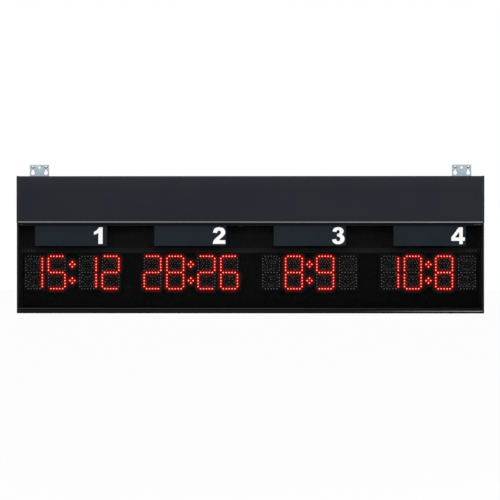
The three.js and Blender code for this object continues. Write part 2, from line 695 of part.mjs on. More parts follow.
// A raised strip for a run of LEDs between two end LEDs, centred at (x, z) and turned in XZ.
function ledStrip(x, z, run, turnDeg) {
  const length = run + STRIP_WIDTH;
  const strip = new THREE.BoxGeometry(length, BOARD_THICKNESS + STRIP_HEIGHT, STRIP_WIDTH);
  strip.rotateY(-THREE.MathUtils.degToRad(turnDeg));
  return strip.translate(x, -(BOARD_THICKNESS + STRIP_HEIGHT) / 2, z);
}

// A digit module about its own centre: a board with seven outer strips and the inner star.
function digitModule() {
  const halfWidth = BOARD_WIDTH / 2;
  const halfHeight = BOARD_HEIGHT / 2;
  const board = solid(block([-halfWidth, -BOARD_THICKNESS, -halfHeight], [halfWidth, 0, halfHeight]));
  const columnX = DIGIT_COLUMN_SPACING / 2;
  const columnZ = DIGIT_ROW_SPACING / 2;
  const strips = [-1, 0, 1].map((row) => ledStrip(0, row * DIGIT_ROW_SPACING, ROW_LENGTH, 0));
  for (const half of [-1, 1]) {
    for (const column of [-1, 0, 1]) {
      const run = column === 0 ? COLUMN_LENGTH - COLUMN_LED_PITCH : COLUMN_LENGTH;
      strips.push(ledStrip(column * columnX, half * columnZ, run, 90));
    }
    for (const side of [-1, 1]) strips.push(diagonalStrip(side, half));
  }
  return union(board, ...strips.map(solid));
}

// A strip of the inner star, from near the digit's centre towards one corner.
function diagonalStrip(side, half) {
  const outerX = DIGIT_COLUMN_SPACING / 2 - DIAGONAL_SIDE_GAP;
  const runX = outerX - DIAGONAL_CENTRE_GAP;
  const runZ = DIGIT_ROW_SPACING - 2 * DIAGONAL_END_GAP;
  const turn = THREE.MathUtils.radToDeg(Math.atan2(half * runZ, side * runX));
  const x = (side * (outerX + DIAGONAL_CENTRE_GAP)) / 2;
  return ledStrip(x, (half * DIGIT_ROW_SPACING) / 2, Math.hypot(runX, runZ), turn);
}

// A colon module: a narrow board with two raised diamonds.
function colonModule() {
  const board = solid(
    block(
      [-COLON_BOARD_WIDTH / 2, -BOARD_THICKNESS, -COLON_BOARD_HEIGHT / 2],
      [COLON_BOARD_WIDTH / 2, 0, COLON_BOARD_HEIGHT / 2],
    ),
  );
  const reach = COLON_HALF_DIAGONAL;
  const diamonds = [-1, 1].map((half) => {
    const z = half * COLON_OFFSET;
    const outline = shapeOf([
      [0, z - reach],
      [reach * COLON_WAIST_SHARE, z],
      [0, z + reach],
      [-reach * COLON_WAIST_SHARE, z],
    ]);
    return solid(forwardFrom(outline, 0, BOARD_THICKNESS + STRIP_HEIGHT));
  });
  return union(board, ...diamonds);
}

// The carrier: a plate with flanges folded back along its top and bottom edges.
function ledCarrier() {
  const outline = shapeOf([
    [CARRIER_FRONT, CARRIER_BOTTOM],
    [CARRIER_FRONT, CARRIER_TOP],
    [CARRIER_BACK + CARRIER_FLANGE, CARRIER_TOP],
    [CARRIER_BACK + CARRIER_FLANGE, CARRIER_TOP - SHEET],
    [CARRIER_BACK, CARRIER_TOP - SHEET],
    [CARRIER_BACK, CARRIER_BOTTOM + SHEET],
    [CARRIER_BACK + CARRIER_FLANGE, CARRIER_BOTTOM + SHEET],
    [CARRIER_BACK + CARRIER_FLANGE, CARRIER_BOTTOM],
  ]);
  const halfLength = INNER_HALF - CARRIER_END_GAP;
  return alongX(outline, -halfLength, halfLength);
}

// A channel that stands on the back wall and carries the plate, open to the rear.
function carrierRail() {
  const back = -(SHEET + SEAT_GAP);
  const front = CARRIER_BACK + SEAT_GAP;
  const half = CARRIER_RAIL_WIDTH / 2;
  const outline = shapeOf([
    [-half, back],
    [-half, front],
    [half, front],
    [half, back],
    [half - SHEET, back],
    [half - SHEET, front + SHEET],
    [-half + SHEET, front + SHEET],
    [-half + SHEET, back],
  ]);
  return alongZ(outline, CARRIER_RAIL_BOTTOM, CARRIER_RAIL_TOP);
}

function lightBaffle() {
  const halfLength = INNER_HALF - CARRIER_END_GAP;
  const back = CARRIER_FRONT - SEAT_GAP;
  const face = back - BAFFLE_FLANGE;
  const ribBottom = BAFFLE_BOTTOM + BAFFLE_RIB_RISE;
  const outline = shapeOf([
    [back, BAFFLE_BOTTOM],
    [back, BAFFLE_TOP],
    [face, BAFFLE_TOP],
    [face, ribBottom + BAFFLE_RIB_HEIGHT],
    [face - BAFFLE_RIB_REACH, ribBottom + BAFFLE_RIB_HEIGHT],
    [face - BAFFLE_RIB_REACH, ribBottom],
    [face, ribBottom],
    [face, BAFFLE_BOTTOM],
  ]);
  return alongX(outline, -halfLength, halfLength);
}

// The outline of a keyhole: a round entry with a narrower neck above it.
function keyholePoints(x, z) {
  const halfAngle = THREE.MathUtils.radToDeg(Math.asin(KEYHOLE_NECK_RADIUS / KEYHOLE_RADIUS));
  return [
    ...arcPoints(x, z, KEYHOLE_RADIUS, 90 + halfAngle, 450 - halfAngle, HOLE_SIDES),
    ...arcPoints(x, z + KEYHOLE_NECK_LENGTH, KEYHOLE_NECK_RADIUS, 0, 180, HOLE_SIDES / 2),
  ];
}

// A hanger plate about the cabinet's middle line: keyholes above, a guide slot below.
function hangerPlate() {
  const half = HANGER_WIDTH / 2;
  const outline = shapeOf([
    [-half, HANGER_TOP - HANGER_LENGTH],
    [half, HANGER_TOP - HANGER_LENGTH],
    [half, HANGER_TOP],
    [-half, HANGER_TOP],
  ]);
  for (const side of [-1, 1]) {
    const x = (side * KEYHOLE_SPACING) / 2;
    outline.holes.push(pathOf(keyholePoints(x, HANGER_TOP - KEYHOLE_DROP)));
    outline.holes.push(pathOf(ringPoints(x, HANGER_TOP - SMALL_HOLE_DROP, SMALL_HOLE_RADIUS, HOLE_SIDES)));
  }
  outline.holes.push(pathOf(ringPoints(0, HANGER_TOP - CENTRE_HOLE_DROP, CENTRE_HOLE_RADIUS, HOLE_SIDES)));
  const slotRadius = STUD_RADIUS + STUD_CLEARANCE;
  outline.holes.push(
    pathOf([
      ...arcPoints(0, STUD_Z, slotRadius, 180, 360, HOLE_SIDES / 2),
      ...arcPoints(0, STUD_Z + HANGER_TRAVEL, slotRadius, 0, 180, HOLE_SIDES / 2),
    ]),
  );
  return forwardFrom(outline, HANGER_BACK, HANGER_THICKNESS);
}

// The stud that is welded to the back wall, with the nut that clamps a hanger plate.
function hangerClamp() {
  const stud = shapeOf(ringPoints(0, STUD_Z, STUD_RADIUS, STUD_SIDES));
  const nut = shapeOf(ringPoints(0, STUD_Z, NUT_RADIUS, NUT_SIDES));
  return union(
    solid(forwardFrom(stud, HANGER_BACK, STUD_LENGTH)),
    solid(forwardFrom(nut, HANGER_FRONT - SEAT_GAP, NUT_THICKNESS)),
  );
}

// The power supply: a closed case whose left end steps down to an open terminal ledge.
function powerSupply() {
  const z0 = SUPPLY_Z - SUPPLY_HEIGHT / 2;
  const z1 = SUPPLY_Z + SUPPLY_HEIGHT / 2;
  const front = SUPPLY_BACK - SUPPLY_DEPTH;
  const body = solid(block([SUPPLY_LEFT, front, z0], [SUPPLY_RIGHT, SUPPLY_BACK, z1]));
  const ledge = solid(
    block(
      [SUPPLY_LEFT - CUT_OVERRUN, front - CUT_OVERRUN, z0 - CUT_OVERRUN],
      [SUPPLY_LEFT + SUPPLY_LEDGE_WIDTH, SUPPLY_BACK - SUPPLY_LEDGE_DEPTH, z1 + CUT_OVERRUN],
    ),
  );
  return body.subtract(ledge);
}

// The control board on four stand-offs, with a chip, two capacitors and a ribbon header.
function controlBoard() {
  const x0 = CONTROL_X - CONTROL_WIDTH / 2;
  const x1 = CONTROL_X + CONTROL_WIDTH / 2;
  const z0 = CONTROL_Z - CONTROL_HEIGHT / 2;
  const z1 = CONTROL_Z + CONTROL_HEIGHT / 2;
  const boardBack = CONTROL_BACK - STANDOFF_HEIGHT;
  const pieces = [solid(block([x0, CONTROL_FACE, z0], [x1, boardBack, z1]))];
  for (const x of [x0 + STANDOFF_INSET, x1 - STANDOFF_INSET]) {
    for (const z of [z0 + STANDOFF_INSET, z1 - STANDOFF_INSET]) {
      const foot = shapeOf(ringPoints(x, z, STANDOFF_RADIUS, STANDOFF_SIDES));
      pieces.push(solid(forwardFrom(foot, CONTROL_BACK, STANDOFF_HEIGHT + CONTROL_BOARD / 2)));
    }
  }
  pieces.push(
    solid(
      block(
        [CONTROL_X - CHIP_WIDTH / 2, CONTROL_FACE - CHIP_DEPTH, CONTROL_Z - CHIP_HEIGHT / 2],
        [CONTROL_X + CHIP_WIDTH / 2, boardBack, CONTROL_Z + CHIP_HEIGHT / 2],
      ),
    ),
  );
  for (const i of [1, 2]) {
    const canX = x0 + STANDOFF_INSET + i * CAPACITOR_SPACING;
    const can = shapeOf(ringPoints(canX, CONTROL_Z, CAPACITOR_RADIUS, STANDOFF_SIDES));
    pieces.push(solid(forwardFrom(can, boardBack, CONTROL_BOARD + CAPACITOR_HEIGHT)));
  }
  pieces.push(
    solid(
      block(
        [CONTROL_X - HEADER_WIDTH / 2, CONTROL_FACE - HEADER_DEPTH, z0],
        [CONTROL_X + HEADER_WIDTH / 2, boardBack, z0 + HEADER_HEIGHT],
      ),
    ),
  );
  return union(...pieces);
}

function radioReceiver() {
  const back = -(SHEET + SEAT_GAP);
  return block(
    [RADIO_X - RADIO_WIDTH / 2, back - RADIO_DEPTH, RADIO_Z - RADIO_HEIGHT / 2],
    [RADIO_X + RADIO_WIDTH / 2, back, RADIO_Z + RADIO_HEIGHT / 2],
  );
}

// The antenna: a rod under the shelf, held by a clip at its middle.
function antenna() {
  const z = SHELF_TOP - SHEET - SEAT_GAP - 2 * ANTENNA_RADIUS;
  const x0 = RADIO_X - ANTENNA_LENGTH / 2;
  const section = shapeOf(ringPoints(ANTENNA_Y, z, ANTENNA_RADIUS, ANTENNA_SIDES));
  const rod = alongX(section, x0, x0 + ANTENNA_LENGTH);
  const clip = block(
    [RADIO_X - ANTENNA_CLIP_WIDTH / 2, ANTENNA_Y - ANTENNA_RADIUS, z],
    [RADIO_X + ANTENNA_CLIP_WIDTH / 2, ANTENNA_Y + ANTENNA_RADIUS, z + 2 * ANTENNA_RADIUS],
  );
  return union(solid(rod), solid(clip));
}

// The inlet housing: a flange under the cabinet and a body with three pockets above it.
function inletHousing() {
  const flange = pocket(0, INLET_FLANGE_WIDTH, INLET_FLANGE_DEPTH, 0, INLET_FLANGE_THICKNESS);
  const bodyStart = INLET_FLANGE_THICKNESS / 2;
  const bodyEnd = INLET_FLANGE_THICKNESS + INLET_BODY_HEIGHT;
  const body = pocket(0, INLET_BODY_WIDTH, INLET_BODY_DEPTH, bodyStart, bodyEnd);
  const room = 2 * FIT_GAP;
  const drawerRoof = DRAWER_HEIGHT + FIT_GAP;
  return carve(
    union(solid(flange), solid(body)),
    solid(socketRecess()),
    solid(pocket(DRAWER_OFFSET, DRAWER_WIDTH + room, DRAWER_DEPTH + room, -CUT_OVERRUN, drawerRoof)),
    solid(pocket(SWITCH_OFFSET, SWITCH_WIDTH + room, SWITCH_DEPTH + room, -CUT_OVERRUN, SWITCH_POCKET)),
  );
}

// The socket's recess, with its two chamfered corners towards the rear.
function socketRecess() {
  const x = INLET_X + SOCKET_OFFSET;
  const halfWidth = SOCKET_WIDTH / 2;
  const halfDepth = SOCKET_DEPTH / 2;
  const outline = shapeOf([
    [x - halfWidth, INLET_Y - halfDepth],
    [x + halfWidth, INLET_Y - halfDepth],
    [x + halfWidth, INLET_Y + halfDepth - SOCKET_CHAMFER],
    [x + halfWidth - SOCKET_CHAMFER, INLET_Y + halfDepth],
    [x - halfWidth + SOCKET_CHAMFER, INLET_Y + halfDepth],
    [x - halfWidth, INLET_Y + halfDepth - SOCKET_CHAMFER],
  ]);
  return alongZ(outline, FLANGE_FACE - CUT_OVERRUN, FLANGE_FACE + SOCKET_RECESS);
}

// A block of the inlet: its offset along X, its size, and its two heights over the flange's face.
function pocket(offset, width, depth, low, high) {
  const x = INLET_X + offset;
  return block(
    [x - width / 2, INLET_Y - depth / 2, FLANGE_FACE + low],
    [x + width / 2, INLET_Y + depth / 2, FLANGE_FACE + high],
  );
}

// One blade of the socket, hanging from the recess's roof.
function inletPin(across, back) {
  const x = INLET_X + SOCKET_OFFSET + across * PIN_OFFSET;
  const y = INLET_Y + back * PIN_SPREAD;
  const top = FLANGE_FACE + SOCKET_RECESS - SEAT_GAP;
  return block(
    [x - PIN_BLADE_WIDTH / 2, y - PIN_BLADE_DEPTH / 2, top - PIN_BLADE_LENGTH],
    [x + PIN_BLADE_WIDTH / 2, y + PIN_BLADE_DEPTH / 2, top],
  );
}

// The fuse drawer: a carriage in its pocket and a finger lip on the flange's face.
function fuseDrawer() {
  const x = INLET_X + DRAWER_OFFSET;
  const lipFace = FLANGE_FACE - SEAT_GAP - DRAWER_LIP;
  const carriage = solid(
    block(
      [x - DRAWER_WIDTH / 2, INLET_Y - DRAWER_DEPTH / 2, lipFace],
      [x + DRAWER_WIDTH / 2, INLET_Y + DRAWER_DEPTH / 2, FLANGE_FACE + DRAWER_HEIGHT],
    ),
  );
  const lip = solid(
    block(
      [x - DRAWER_WIDTH / 2 - DRAWER_LIP, INLET_Y - DRAWER_DEPTH / 2 - DRAWER_LIP, lipFace],
      [x + DRAWER_WIDTH / 2 + DRAWER_LIP, INLET_Y + DRAWER_DEPTH / 2 + DRAWER_LIP, FLANGE_FACE - SEAT_GAP],
    ),
  );
  return union(carriage, lip);
}

// The rocker about its own pivot: a shallow V-shaped key on a trunnion block.
function rockerKey() {
  const half = SWITCH_WIDTH / 2 - ROCKER_END_GAP;
  const face = -(SWITCH_KEY_DROP + SWITCH_DISH);
  const outline = shapeOf([
    [-half, face],
    [0, -SWITCH_KEY_DROP],
    [half, face],
    [half, face + SWITCH_EDGE_HEIGHT],
    [0, SWITCH_EDGE_HEIGHT],
    [-half, face + SWITCH_EDGE_HEIGHT],
  ]);
  return forwardFrom(outline, SWITCH_DEPTH / 2 - FIT_GAP, SWITCH_DEPTH - 2 * FIT_GAP);
}

// A lead of round section along a path with rounded corners.
function lead(points, radius, bendRadius) {
  const route = new THREE.CurvePath();
  const nodes = points.map((point) => new THREE.Vector3(...point));
  let start = nodes[0];
  for (let i = 1; i < nodes.length - 1; i += 1) {
    const before = nodes[i].clone().add(nodes[i - 1].clone().sub(nodes[i]).setLength(bendRadius));
    const after = nodes[i].clone().add(nodes[i + 1].clone().sub(nodes[i]).setLength(bendRadius));
    route.add(new THREE.LineCurve3(start, before));
    route.add(new THREE.QuadraticBezierCurve3(before, nodes[i], after));
    start = after;
  }
  route.add(new THREE.LineCurve3(start, nodes.at(-1)));
  return sweep(route, radius);
}

// Rings of a round section, each square to the route, closed by two end fans.
function sweep(route, radius) {
  const stations = stationsOf(route);
  const positions = [];
  const index = [];
  const normal = new THREE.Vector3().crossVectors(stations[0].tangent, AXIS.y).normalize();
  for (const { point, tangent } of stations) {
    normal.addScaledVector(tangent, -normal.dot(tangent)).normalize();
    const across = new THREE.Vector3().crossVectors(tangent, normal);
    for (let j = 0; j < LEAD_SIDES; j += 1) {
      const angle = (2 * Math.PI * j) / LEAD_SIDES;
      const rim = point
        .clone()
        .addScaledVector(normal, radius * Math.cos(angle))
        .addScaledVector(across, radius * Math.sin(angle));
      positions.push(rim.x, rim.y, rim.z);
    }
  }
  for (let i = 0; i < stations.length - 1; i += 1) {
    for (let j = 0; j < LEAD_SIDES; j += 1) {
      const a = i * LEAD_SIDES + j;
      const b = i * LEAD_SIDES + ((j + 1) % LEAD_SIDES);
      index.push(a, b, b + LEAD_SIDES, a, b + LEAD_SIDES, a + LEAD_SIDES);
    }
  }
  const last = (stations.length - 1) * LEAD_SIDES;
  for (let j = 1; j < LEAD_SIDES - 1; j += 1) {
    index.push(0, j + 1, j);
    index.push(last, last + j, last + j + 1);
  }
  const geometry = new THREE.BufferGeometry();
  geometry.setAttribute("position", new THREE.BufferAttribute(new Float32Array(positions), 3));
  geometry.setIndex(index);
  return geometry;
}

// Points and tangents: both ends of each straight run, and a few steps on each bend.
function stationsOf(route) {
  const stations = [];
  route.curves.forEach((curve) => {
    const steps = curve.isLineCurve3 ? 1 : CORNER_STEPS;
    const first = stations.length ? 1 : 0;
    for (let i = first; i <= steps; i += 1) {
      stations.push({ point: curve.getPoint(i / steps), tangent: curve.getTangent(i / steps) });
    }
  });
  return stations;
}

// The mains lead: up from the inlet and across to the supply's right end.
function mainsLead() {
  const corners = [
    [INLET_X, INLET_Y, INLET_TOP + SEAT_GAP],
    [INLET_X, INLET_Y, SUPPLY_Z],
    [SUPPLY_RIGHT + SEAT_GAP, INLET_Y, SUPPLY_Z],
  ];
  return lead(corners, MAINS_LEAD_RADIUS, LEAD_BEND_RADIUS);
}

// The supply harness: from the supply's left end down and along behind the carrier.
function supplyHarness() {
  const corners = [
    [SUPPLY_LEFT - SEAT_GAP, HARNESS_Y, SUPPLY_Z],
    [HARNESS_RISE_X, HARNESS_Y, SUPPLY_Z],
    [HARNESS_RISE_X, HARNESS_Y, HARNESS_Z],
    [-HARNESS_END_X, HARNESS_Y, HARNESS_Z],
  ];
  return lead(corners, HARNESS_RADIUS, LEAD_BEND_RADIUS);
}

// The data ribbon: a flat run behind the carrier and a leg up to the control board's header.
function dataRibbon() {
  const back = CARRIER_BACK + SEAT_GAP;
  const run = solid(
    block(
      [-RIBBON_HALF_LENGTH, back, RIBBON_Z - RIBBON_WIDTH / 2],
      [RIBBON_HALF_LENGTH, back + RIBBON_THICKNESS, RIBBON_Z + RIBBON_WIDTH / 2],
    ),
  );
  const headerZ = CONTROL_Z - CONTROL_HEIGHT / 2 + HEADER_HEIGHT / 2;
  const headerFace = CONTROL_FACE - HEADER_DEPTH - SEAT_GAP;
  const legFront = CARRIER_BACK + CARRIER_FLANGE + SEAT_GAP;
  const legBack = legFront + RIBBON_THICKNESS;
  const leg = alongX(
    shapeOf([
      [back, RIBBON_Z],
      [legBack, RIBBON_Z],
      [legBack, headerZ],
      [headerFace, headerZ],
      [headerFace, headerZ + RIBBON_THICKNESS],
      [legFront, headerZ + RIBBON_THICKNESS],
      [legFront, RIBBON_Z + RIBBON_THICKNESS],
      [back, RIBBON_Z + RIBBON_THICKNESS],
    ]),
    CONTROL_X - RIBBON_WIDTH / 2,
    CONTROL_X + RIBBON_WIDTH / 2,
  );
  return union(run, solid(leg));
}

// The cabinet
place("rear_shell", rearShell(), charcoal);
place("end_cap_left", endCap(-1), capBlack);
place("end_cap_right", endCap(1), capBlack);
place("mid_rail", midRail(), lipGrey);
place("bottom_rail", bottomRail(), railDark);
place("bay_shelf", bayShelf(), steelZinc);
place("window", windowPane(), smokedWindow);

// The upper cover and its hinge
place("upper_cover", upperCover(), charcoal);
place("hinge_leaf_fixed", hingeLeaf(1), steelZinc);
place("hinge_leaf_cover", hingeLeaf(-1), steelZinc);
place("hinge_pin", hingePin(), steelZinc);
place("cover_magnet_left", magnetDisc(-1, 0, 0), magnetNickel);
place("cover_magnet_right", magnetDisc(1, 0, 0), magnetNickel);

// The display bay, with one group for each set
place("led_carrier", ledCarrier(), blackMask);
const railShape = carrierRail();
[["left", -1], ["centre", 0], ["right", 1]].forEach(([name, side]) => {
  place("carrier_rail_" + name, railShape, steelZinc).position.x = side * CARRIER_RAIL_X;
});
place("light_baffle", lightBaffle(), blackMask);

const plateShape = numberPlate();
const digitShape = digitModule();
const colonShape = colonModule();
const digitOffsets = [-DIGIT_OUTER_OFFSET, -DIGIT_INNER_OFFSET, DIGIT_INNER_OFFSET, DIGIT_OUTER_OFFSET];
for (let i = 0; i < SET_COUNT; i += 1) {
  const set = new THREE.Group();
  set.position.x = (i - (SET_COUNT - 1) / 2) * SET_SPACING;
  scoreboard.add(set);
  const label = "set_" + (i + 1);
  place(label + "_number_plate", plateShape, plateVinyl, set).position.set(
    0,
    WINDOW_FRONT - SEAT_GAP,
    PLATE_TOP - PLATE_HEIGHT / 2,
  );
  digitOffsets.forEach((offset, k) => {
    const digit = place(label + "_digit_" + (k + 1), digitShape, boardBlack, set);
    digit.position.set(offset, BOARD_FRONT + BOARD_THICKNESS, DIGIT_ROW_Z);
  });
  const colon = place(label + "_colon", colonShape, boardBlack, set);
  colon.position.set(0, BOARD_FRONT + BOARD_THICKNESS, DIGIT_ROW_Z);
}

// The hanger plates and their clamps
const hangerShape = hangerPlate();
const clampShape = hangerClamp();
[["left", -1], ["right", 1]].forEach(([name, side]) => {
  place("hanger_" + name, hangerShape, galvanised).position.x = side * HANGER_X;
  place("hanger_clamp_" + name, clampShape, steelZinc).position.x = side * HANGER_X;
});

// The electronics and the leads between them
place("power_supply", powerSupply(), supplySteel);
place("control_board", controlBoard(), boardGreen);
place("radio_receiver", radioReceiver(), plasticBlack);
place("antenna", antenna(), plasticBlack);
place("mains_lead", mainsLead(), leadGrey);
place("supply_harness", supplyHarness(), leadGrey);
place("data_ribbon", dataRibbon(), ribbonGrey);

// The mains inlet on the underside
place("inlet_housing", inletHousing(), plasticBlack);
place("inlet_pin_live", inletPin(1, -1), pinBrass);
place("inlet_pin_neutral", inletPin(-1, -1), pinBrass);
place("inlet_pin_earth", inletPin(0, 1), pinBrass);
place("fuse_drawer", fuseDrawer(), plasticBlack);
const rocker = place("rocker_switch", rockerKey(), plasticBlack);
rocker.position.set(INLET_X + SWITCH_OFFSET, INLET_Y, FLANGE_FACE + SWITCH_PIVOT_RISE);
rocker.rotation.y = THREE.MathUtils.degToRad(SWITCH_THROW_DEG);

export default scoreboard;
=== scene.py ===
"""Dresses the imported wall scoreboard: coats, lenses, numerals, fasteners, stage, lamps and camera.

Places and sizes are in metres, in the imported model's frame, where the front looks towards -Y.
"""

import logging
import math
from dataclasses import dataclass
from enum import Enum
from functools import cache
from typing import Iterable, Mapping, Sequence

import bmesh
import bpy
import numpy as np
from mathutils import Matrix, Vector


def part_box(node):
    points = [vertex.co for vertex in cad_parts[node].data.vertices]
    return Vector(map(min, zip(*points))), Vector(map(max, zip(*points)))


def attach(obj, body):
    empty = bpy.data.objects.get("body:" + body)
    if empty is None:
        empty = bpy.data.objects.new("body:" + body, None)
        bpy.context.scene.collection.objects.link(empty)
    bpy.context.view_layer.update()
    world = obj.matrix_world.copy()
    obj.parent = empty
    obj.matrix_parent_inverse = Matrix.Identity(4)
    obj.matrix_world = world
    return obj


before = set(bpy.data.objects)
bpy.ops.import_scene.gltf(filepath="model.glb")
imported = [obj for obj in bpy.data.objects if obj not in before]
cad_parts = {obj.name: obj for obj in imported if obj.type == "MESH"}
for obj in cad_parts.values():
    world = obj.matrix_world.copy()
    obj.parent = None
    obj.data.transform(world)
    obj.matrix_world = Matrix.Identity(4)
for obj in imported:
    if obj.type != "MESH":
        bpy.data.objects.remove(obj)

LOG = logging.getLogger("scoreboard")
MM = 0.001
SMOOTH_ANGLE = math.radians(35)
NOISE_ROUGHNESS = 0.55
GRAIN_DETAIL = 2.0
BLOTCH_DETAIL = 4.0
BEVEL_SEGMENTS = 2
BEVEL_PROFILE = 0.5

# Places of a Mix node's colour sockets, because its other sockets have the same names.
MIX_FIRST = 6
MIX_SECOND = 7
MIX_COLOUR = 2

Colour = tuple[float, float, float]
Point = tuple[float, float, float]
Flat = tuple[float, float]
Profile = tuple[Flat, ...]

BLACK: Colour = (0.0, 0.0, 0.0)
FORWARD: Point = (0.0, -1.0, 0.0)
BACKWARD: Point = (0.0, 1.0, 0.0)
UP: Point = (0.0, 0.0, 1.0)
DOWN: Point = (0.0, 0.0, -1.0)
SIDES: tuple[tuple[str, int], ...] = (("left", -1), ("right", 1))


class Body(Enum):
    """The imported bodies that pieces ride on."""

    CABINET = "cabinet"
    COVER = "cover"
    LEFT_HANGER = "left_hanger"
    RIGHT_HANGER = "right_hanger"


@dataclass(frozen=True)
class Signal:
    """A value, vector or colour inside a shader that can be used in Python expressions."""

    graph: "Graph"
    socket: bpy.types.NodeSocket

    def __add__(self, other: "Value") -> "Signal":
        """Sum of two values."""
        return self.graph.maths("ADD", self, other)

    def __sub__(self, other: "Value") -> "Signal":
        """Difference of two values."""
        return self.graph.maths("SUBTRACT", self, other)

    def __rsub__(self, other: float) -> "Signal":
        """Difference with a number on the left."""
        return self.graph.maths("SUBTRACT", other, self)

    def __mul__(self, other: "Value") -> "Signal":
        """Product of two values."""
        return self.graph.maths("MULTIPLY", self, other)

    __radd__ = __add__
    __rmul__ = __mul__

    def step(self, low: float, high: float) -> "Signal":
        """Smooth rise from 0 at low to 1 at high."""
        feeds = {"Value": self, "From Min": low, "From Max": high}
        return self.graph.node("ShaderNodeMapRange", {"interpolation_type": "SMOOTHSTEP"}, feeds)

    def band(self, low: float, high: float, soft: float) -> "Signal":
        """1 between low and high, 0 outside, with soft edges."""
        return self.step(low - soft, low + soft) * (1.0 - self.step(high - soft, high + soft))


Value = Signal | float
Tone = Signal | Colour


class Graph:
    """The node graph of one material or world."""

    def __init__(self, tree: bpy.types.NodeTree, output: str) -> None:
        """Empties the tree and adds its output node.

        Args:
            tree: The node tree to fill.
            output: The type of its output node.
        """
        tree.nodes.clear()
        self.tree = tree
        self.output = tree.nodes.new(output)

    def node(
        self,
        kind: str,
        settings: Mapping[str, object] | None = None,
        feeds: Mapping[str | int, object] | None = None,
        out: str | int = 0,
    ) -> Signal:
        """Adds a node.

        Args:
            kind: The node's type.
            settings: The node's own options, set before its sockets.
            feeds: Values or signals for its input sockets.
            out: The output to hand back.

        Returns:
            The chosen output as a signal.
        """
        made = self.tree.nodes.new(kind)
        for key, value in (settings or {}).items():
            setattr(made, key, value)
        for key, value in (feeds or {}).items():
            if isinstance(value, Signal):
                self.tree.links.new(value.socket, made.inputs[key])
            else:
                made.inputs[key].default_value = value
        return Signal(self, made.outputs[out])

    def maths(self, operation: str, first: Value, second: Value) -> Signal:
        """Adds one Math node with two values."""
        return self.node("ShaderNodeMath", {"operation": operation}, {0: first, 1: second})

    def mix(self, share: Value, first: Tone, second: Tone) -> Signal:
        """The first colour where the share is 0, the second where it is 1."""
        feeds = {0: share, MIX_FIRST: opaque(first), MIX_SECOND: opaque(second)}
        return self.node("ShaderNodeMix", {"data_type": "RGBA", "clamp_factor": True}, feeds, MIX_COLOUR)

    def place(self) -> Signal:
        """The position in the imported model's frame."""
        return self.node("ShaderNodeTexCoord", out="Object")

    def axes(self, place: Signal) -> tuple[Signal, Signal, Signal]:
        """The three coordinates of a position, or the three channels of a colour."""
        outputs = self.node("ShaderNodeSeparateXYZ", feeds={0: place}).socket.node.outputs
        return tuple(Signal(self, outputs[i]) for i in range(3))

    def noise(self, place: Signal, scale: float, detail: float, stretch: Point = (1, 1, 1)) -> Signal:
        """Noise of the given scale.

        Args:
            place: Where the noise is read.
            scale: Features per metre.
            detail: Octaves.
            stretch: Factors on the three axes, below 1 for long grains.

        Returns:
            A value around one half.
        """
        if stretch != (1, 1, 1):
            place = self.node("ShaderNodeVectorMath", {"operation": "MULTIPLY"}, {0: place, 1: stretch})
        feeds = {"Vector": place, "Scale": scale, "Detail": detail, "Roughness": NOISE_ROUGHNESS}
        return self.node("ShaderNodeTexNoise", feeds=feeds)

    def crystals(self, place: Signal, scale: float) -> Signal:
        """A value that changes from crystal to crystal, at so many crystals per metre."""
        feeds = {"Vector": place, "Scale": scale}
        return self.axes(self.node("ShaderNodeTexVoronoi", feeds=feeds, out="Color"))[0]

    def bump(self, height: Signal, strength: float, distance: float) -> Signal:
        """A bumped normal."""
        feeds = {"Strength": strength, "Distance": distance, "Height": height}
        return self.node("ShaderNodeBump", feeds=feeds)

    def finish(self, shader: Signal) -> None:
        """Joins a shader to the output."""
        self.tree.links.new(shader.socket, self.output.inputs["Surface"])


def opaque(colour: Tone) -> object:
    """A colour with an alpha of 1, or the signal as it is."""
    return colour if isinstance(colour, Signal) else (*colour, 1.0)


@dataclass(frozen=True)
class Zone:
    """A strip of a surface, between two places on one axis, with soft edges and its own colour.

    A far colour takes over from the colour along X, between the two places of the turn. The zones here carry
    painted light and shade, and their far colours paint how that light changes along the board.
    """

    axis: int
    low: float
    high: float
    soft: float
    colour: Colour
    far_colour: Colour | None = None
    turn: Flat = (-0.4, 1.0)


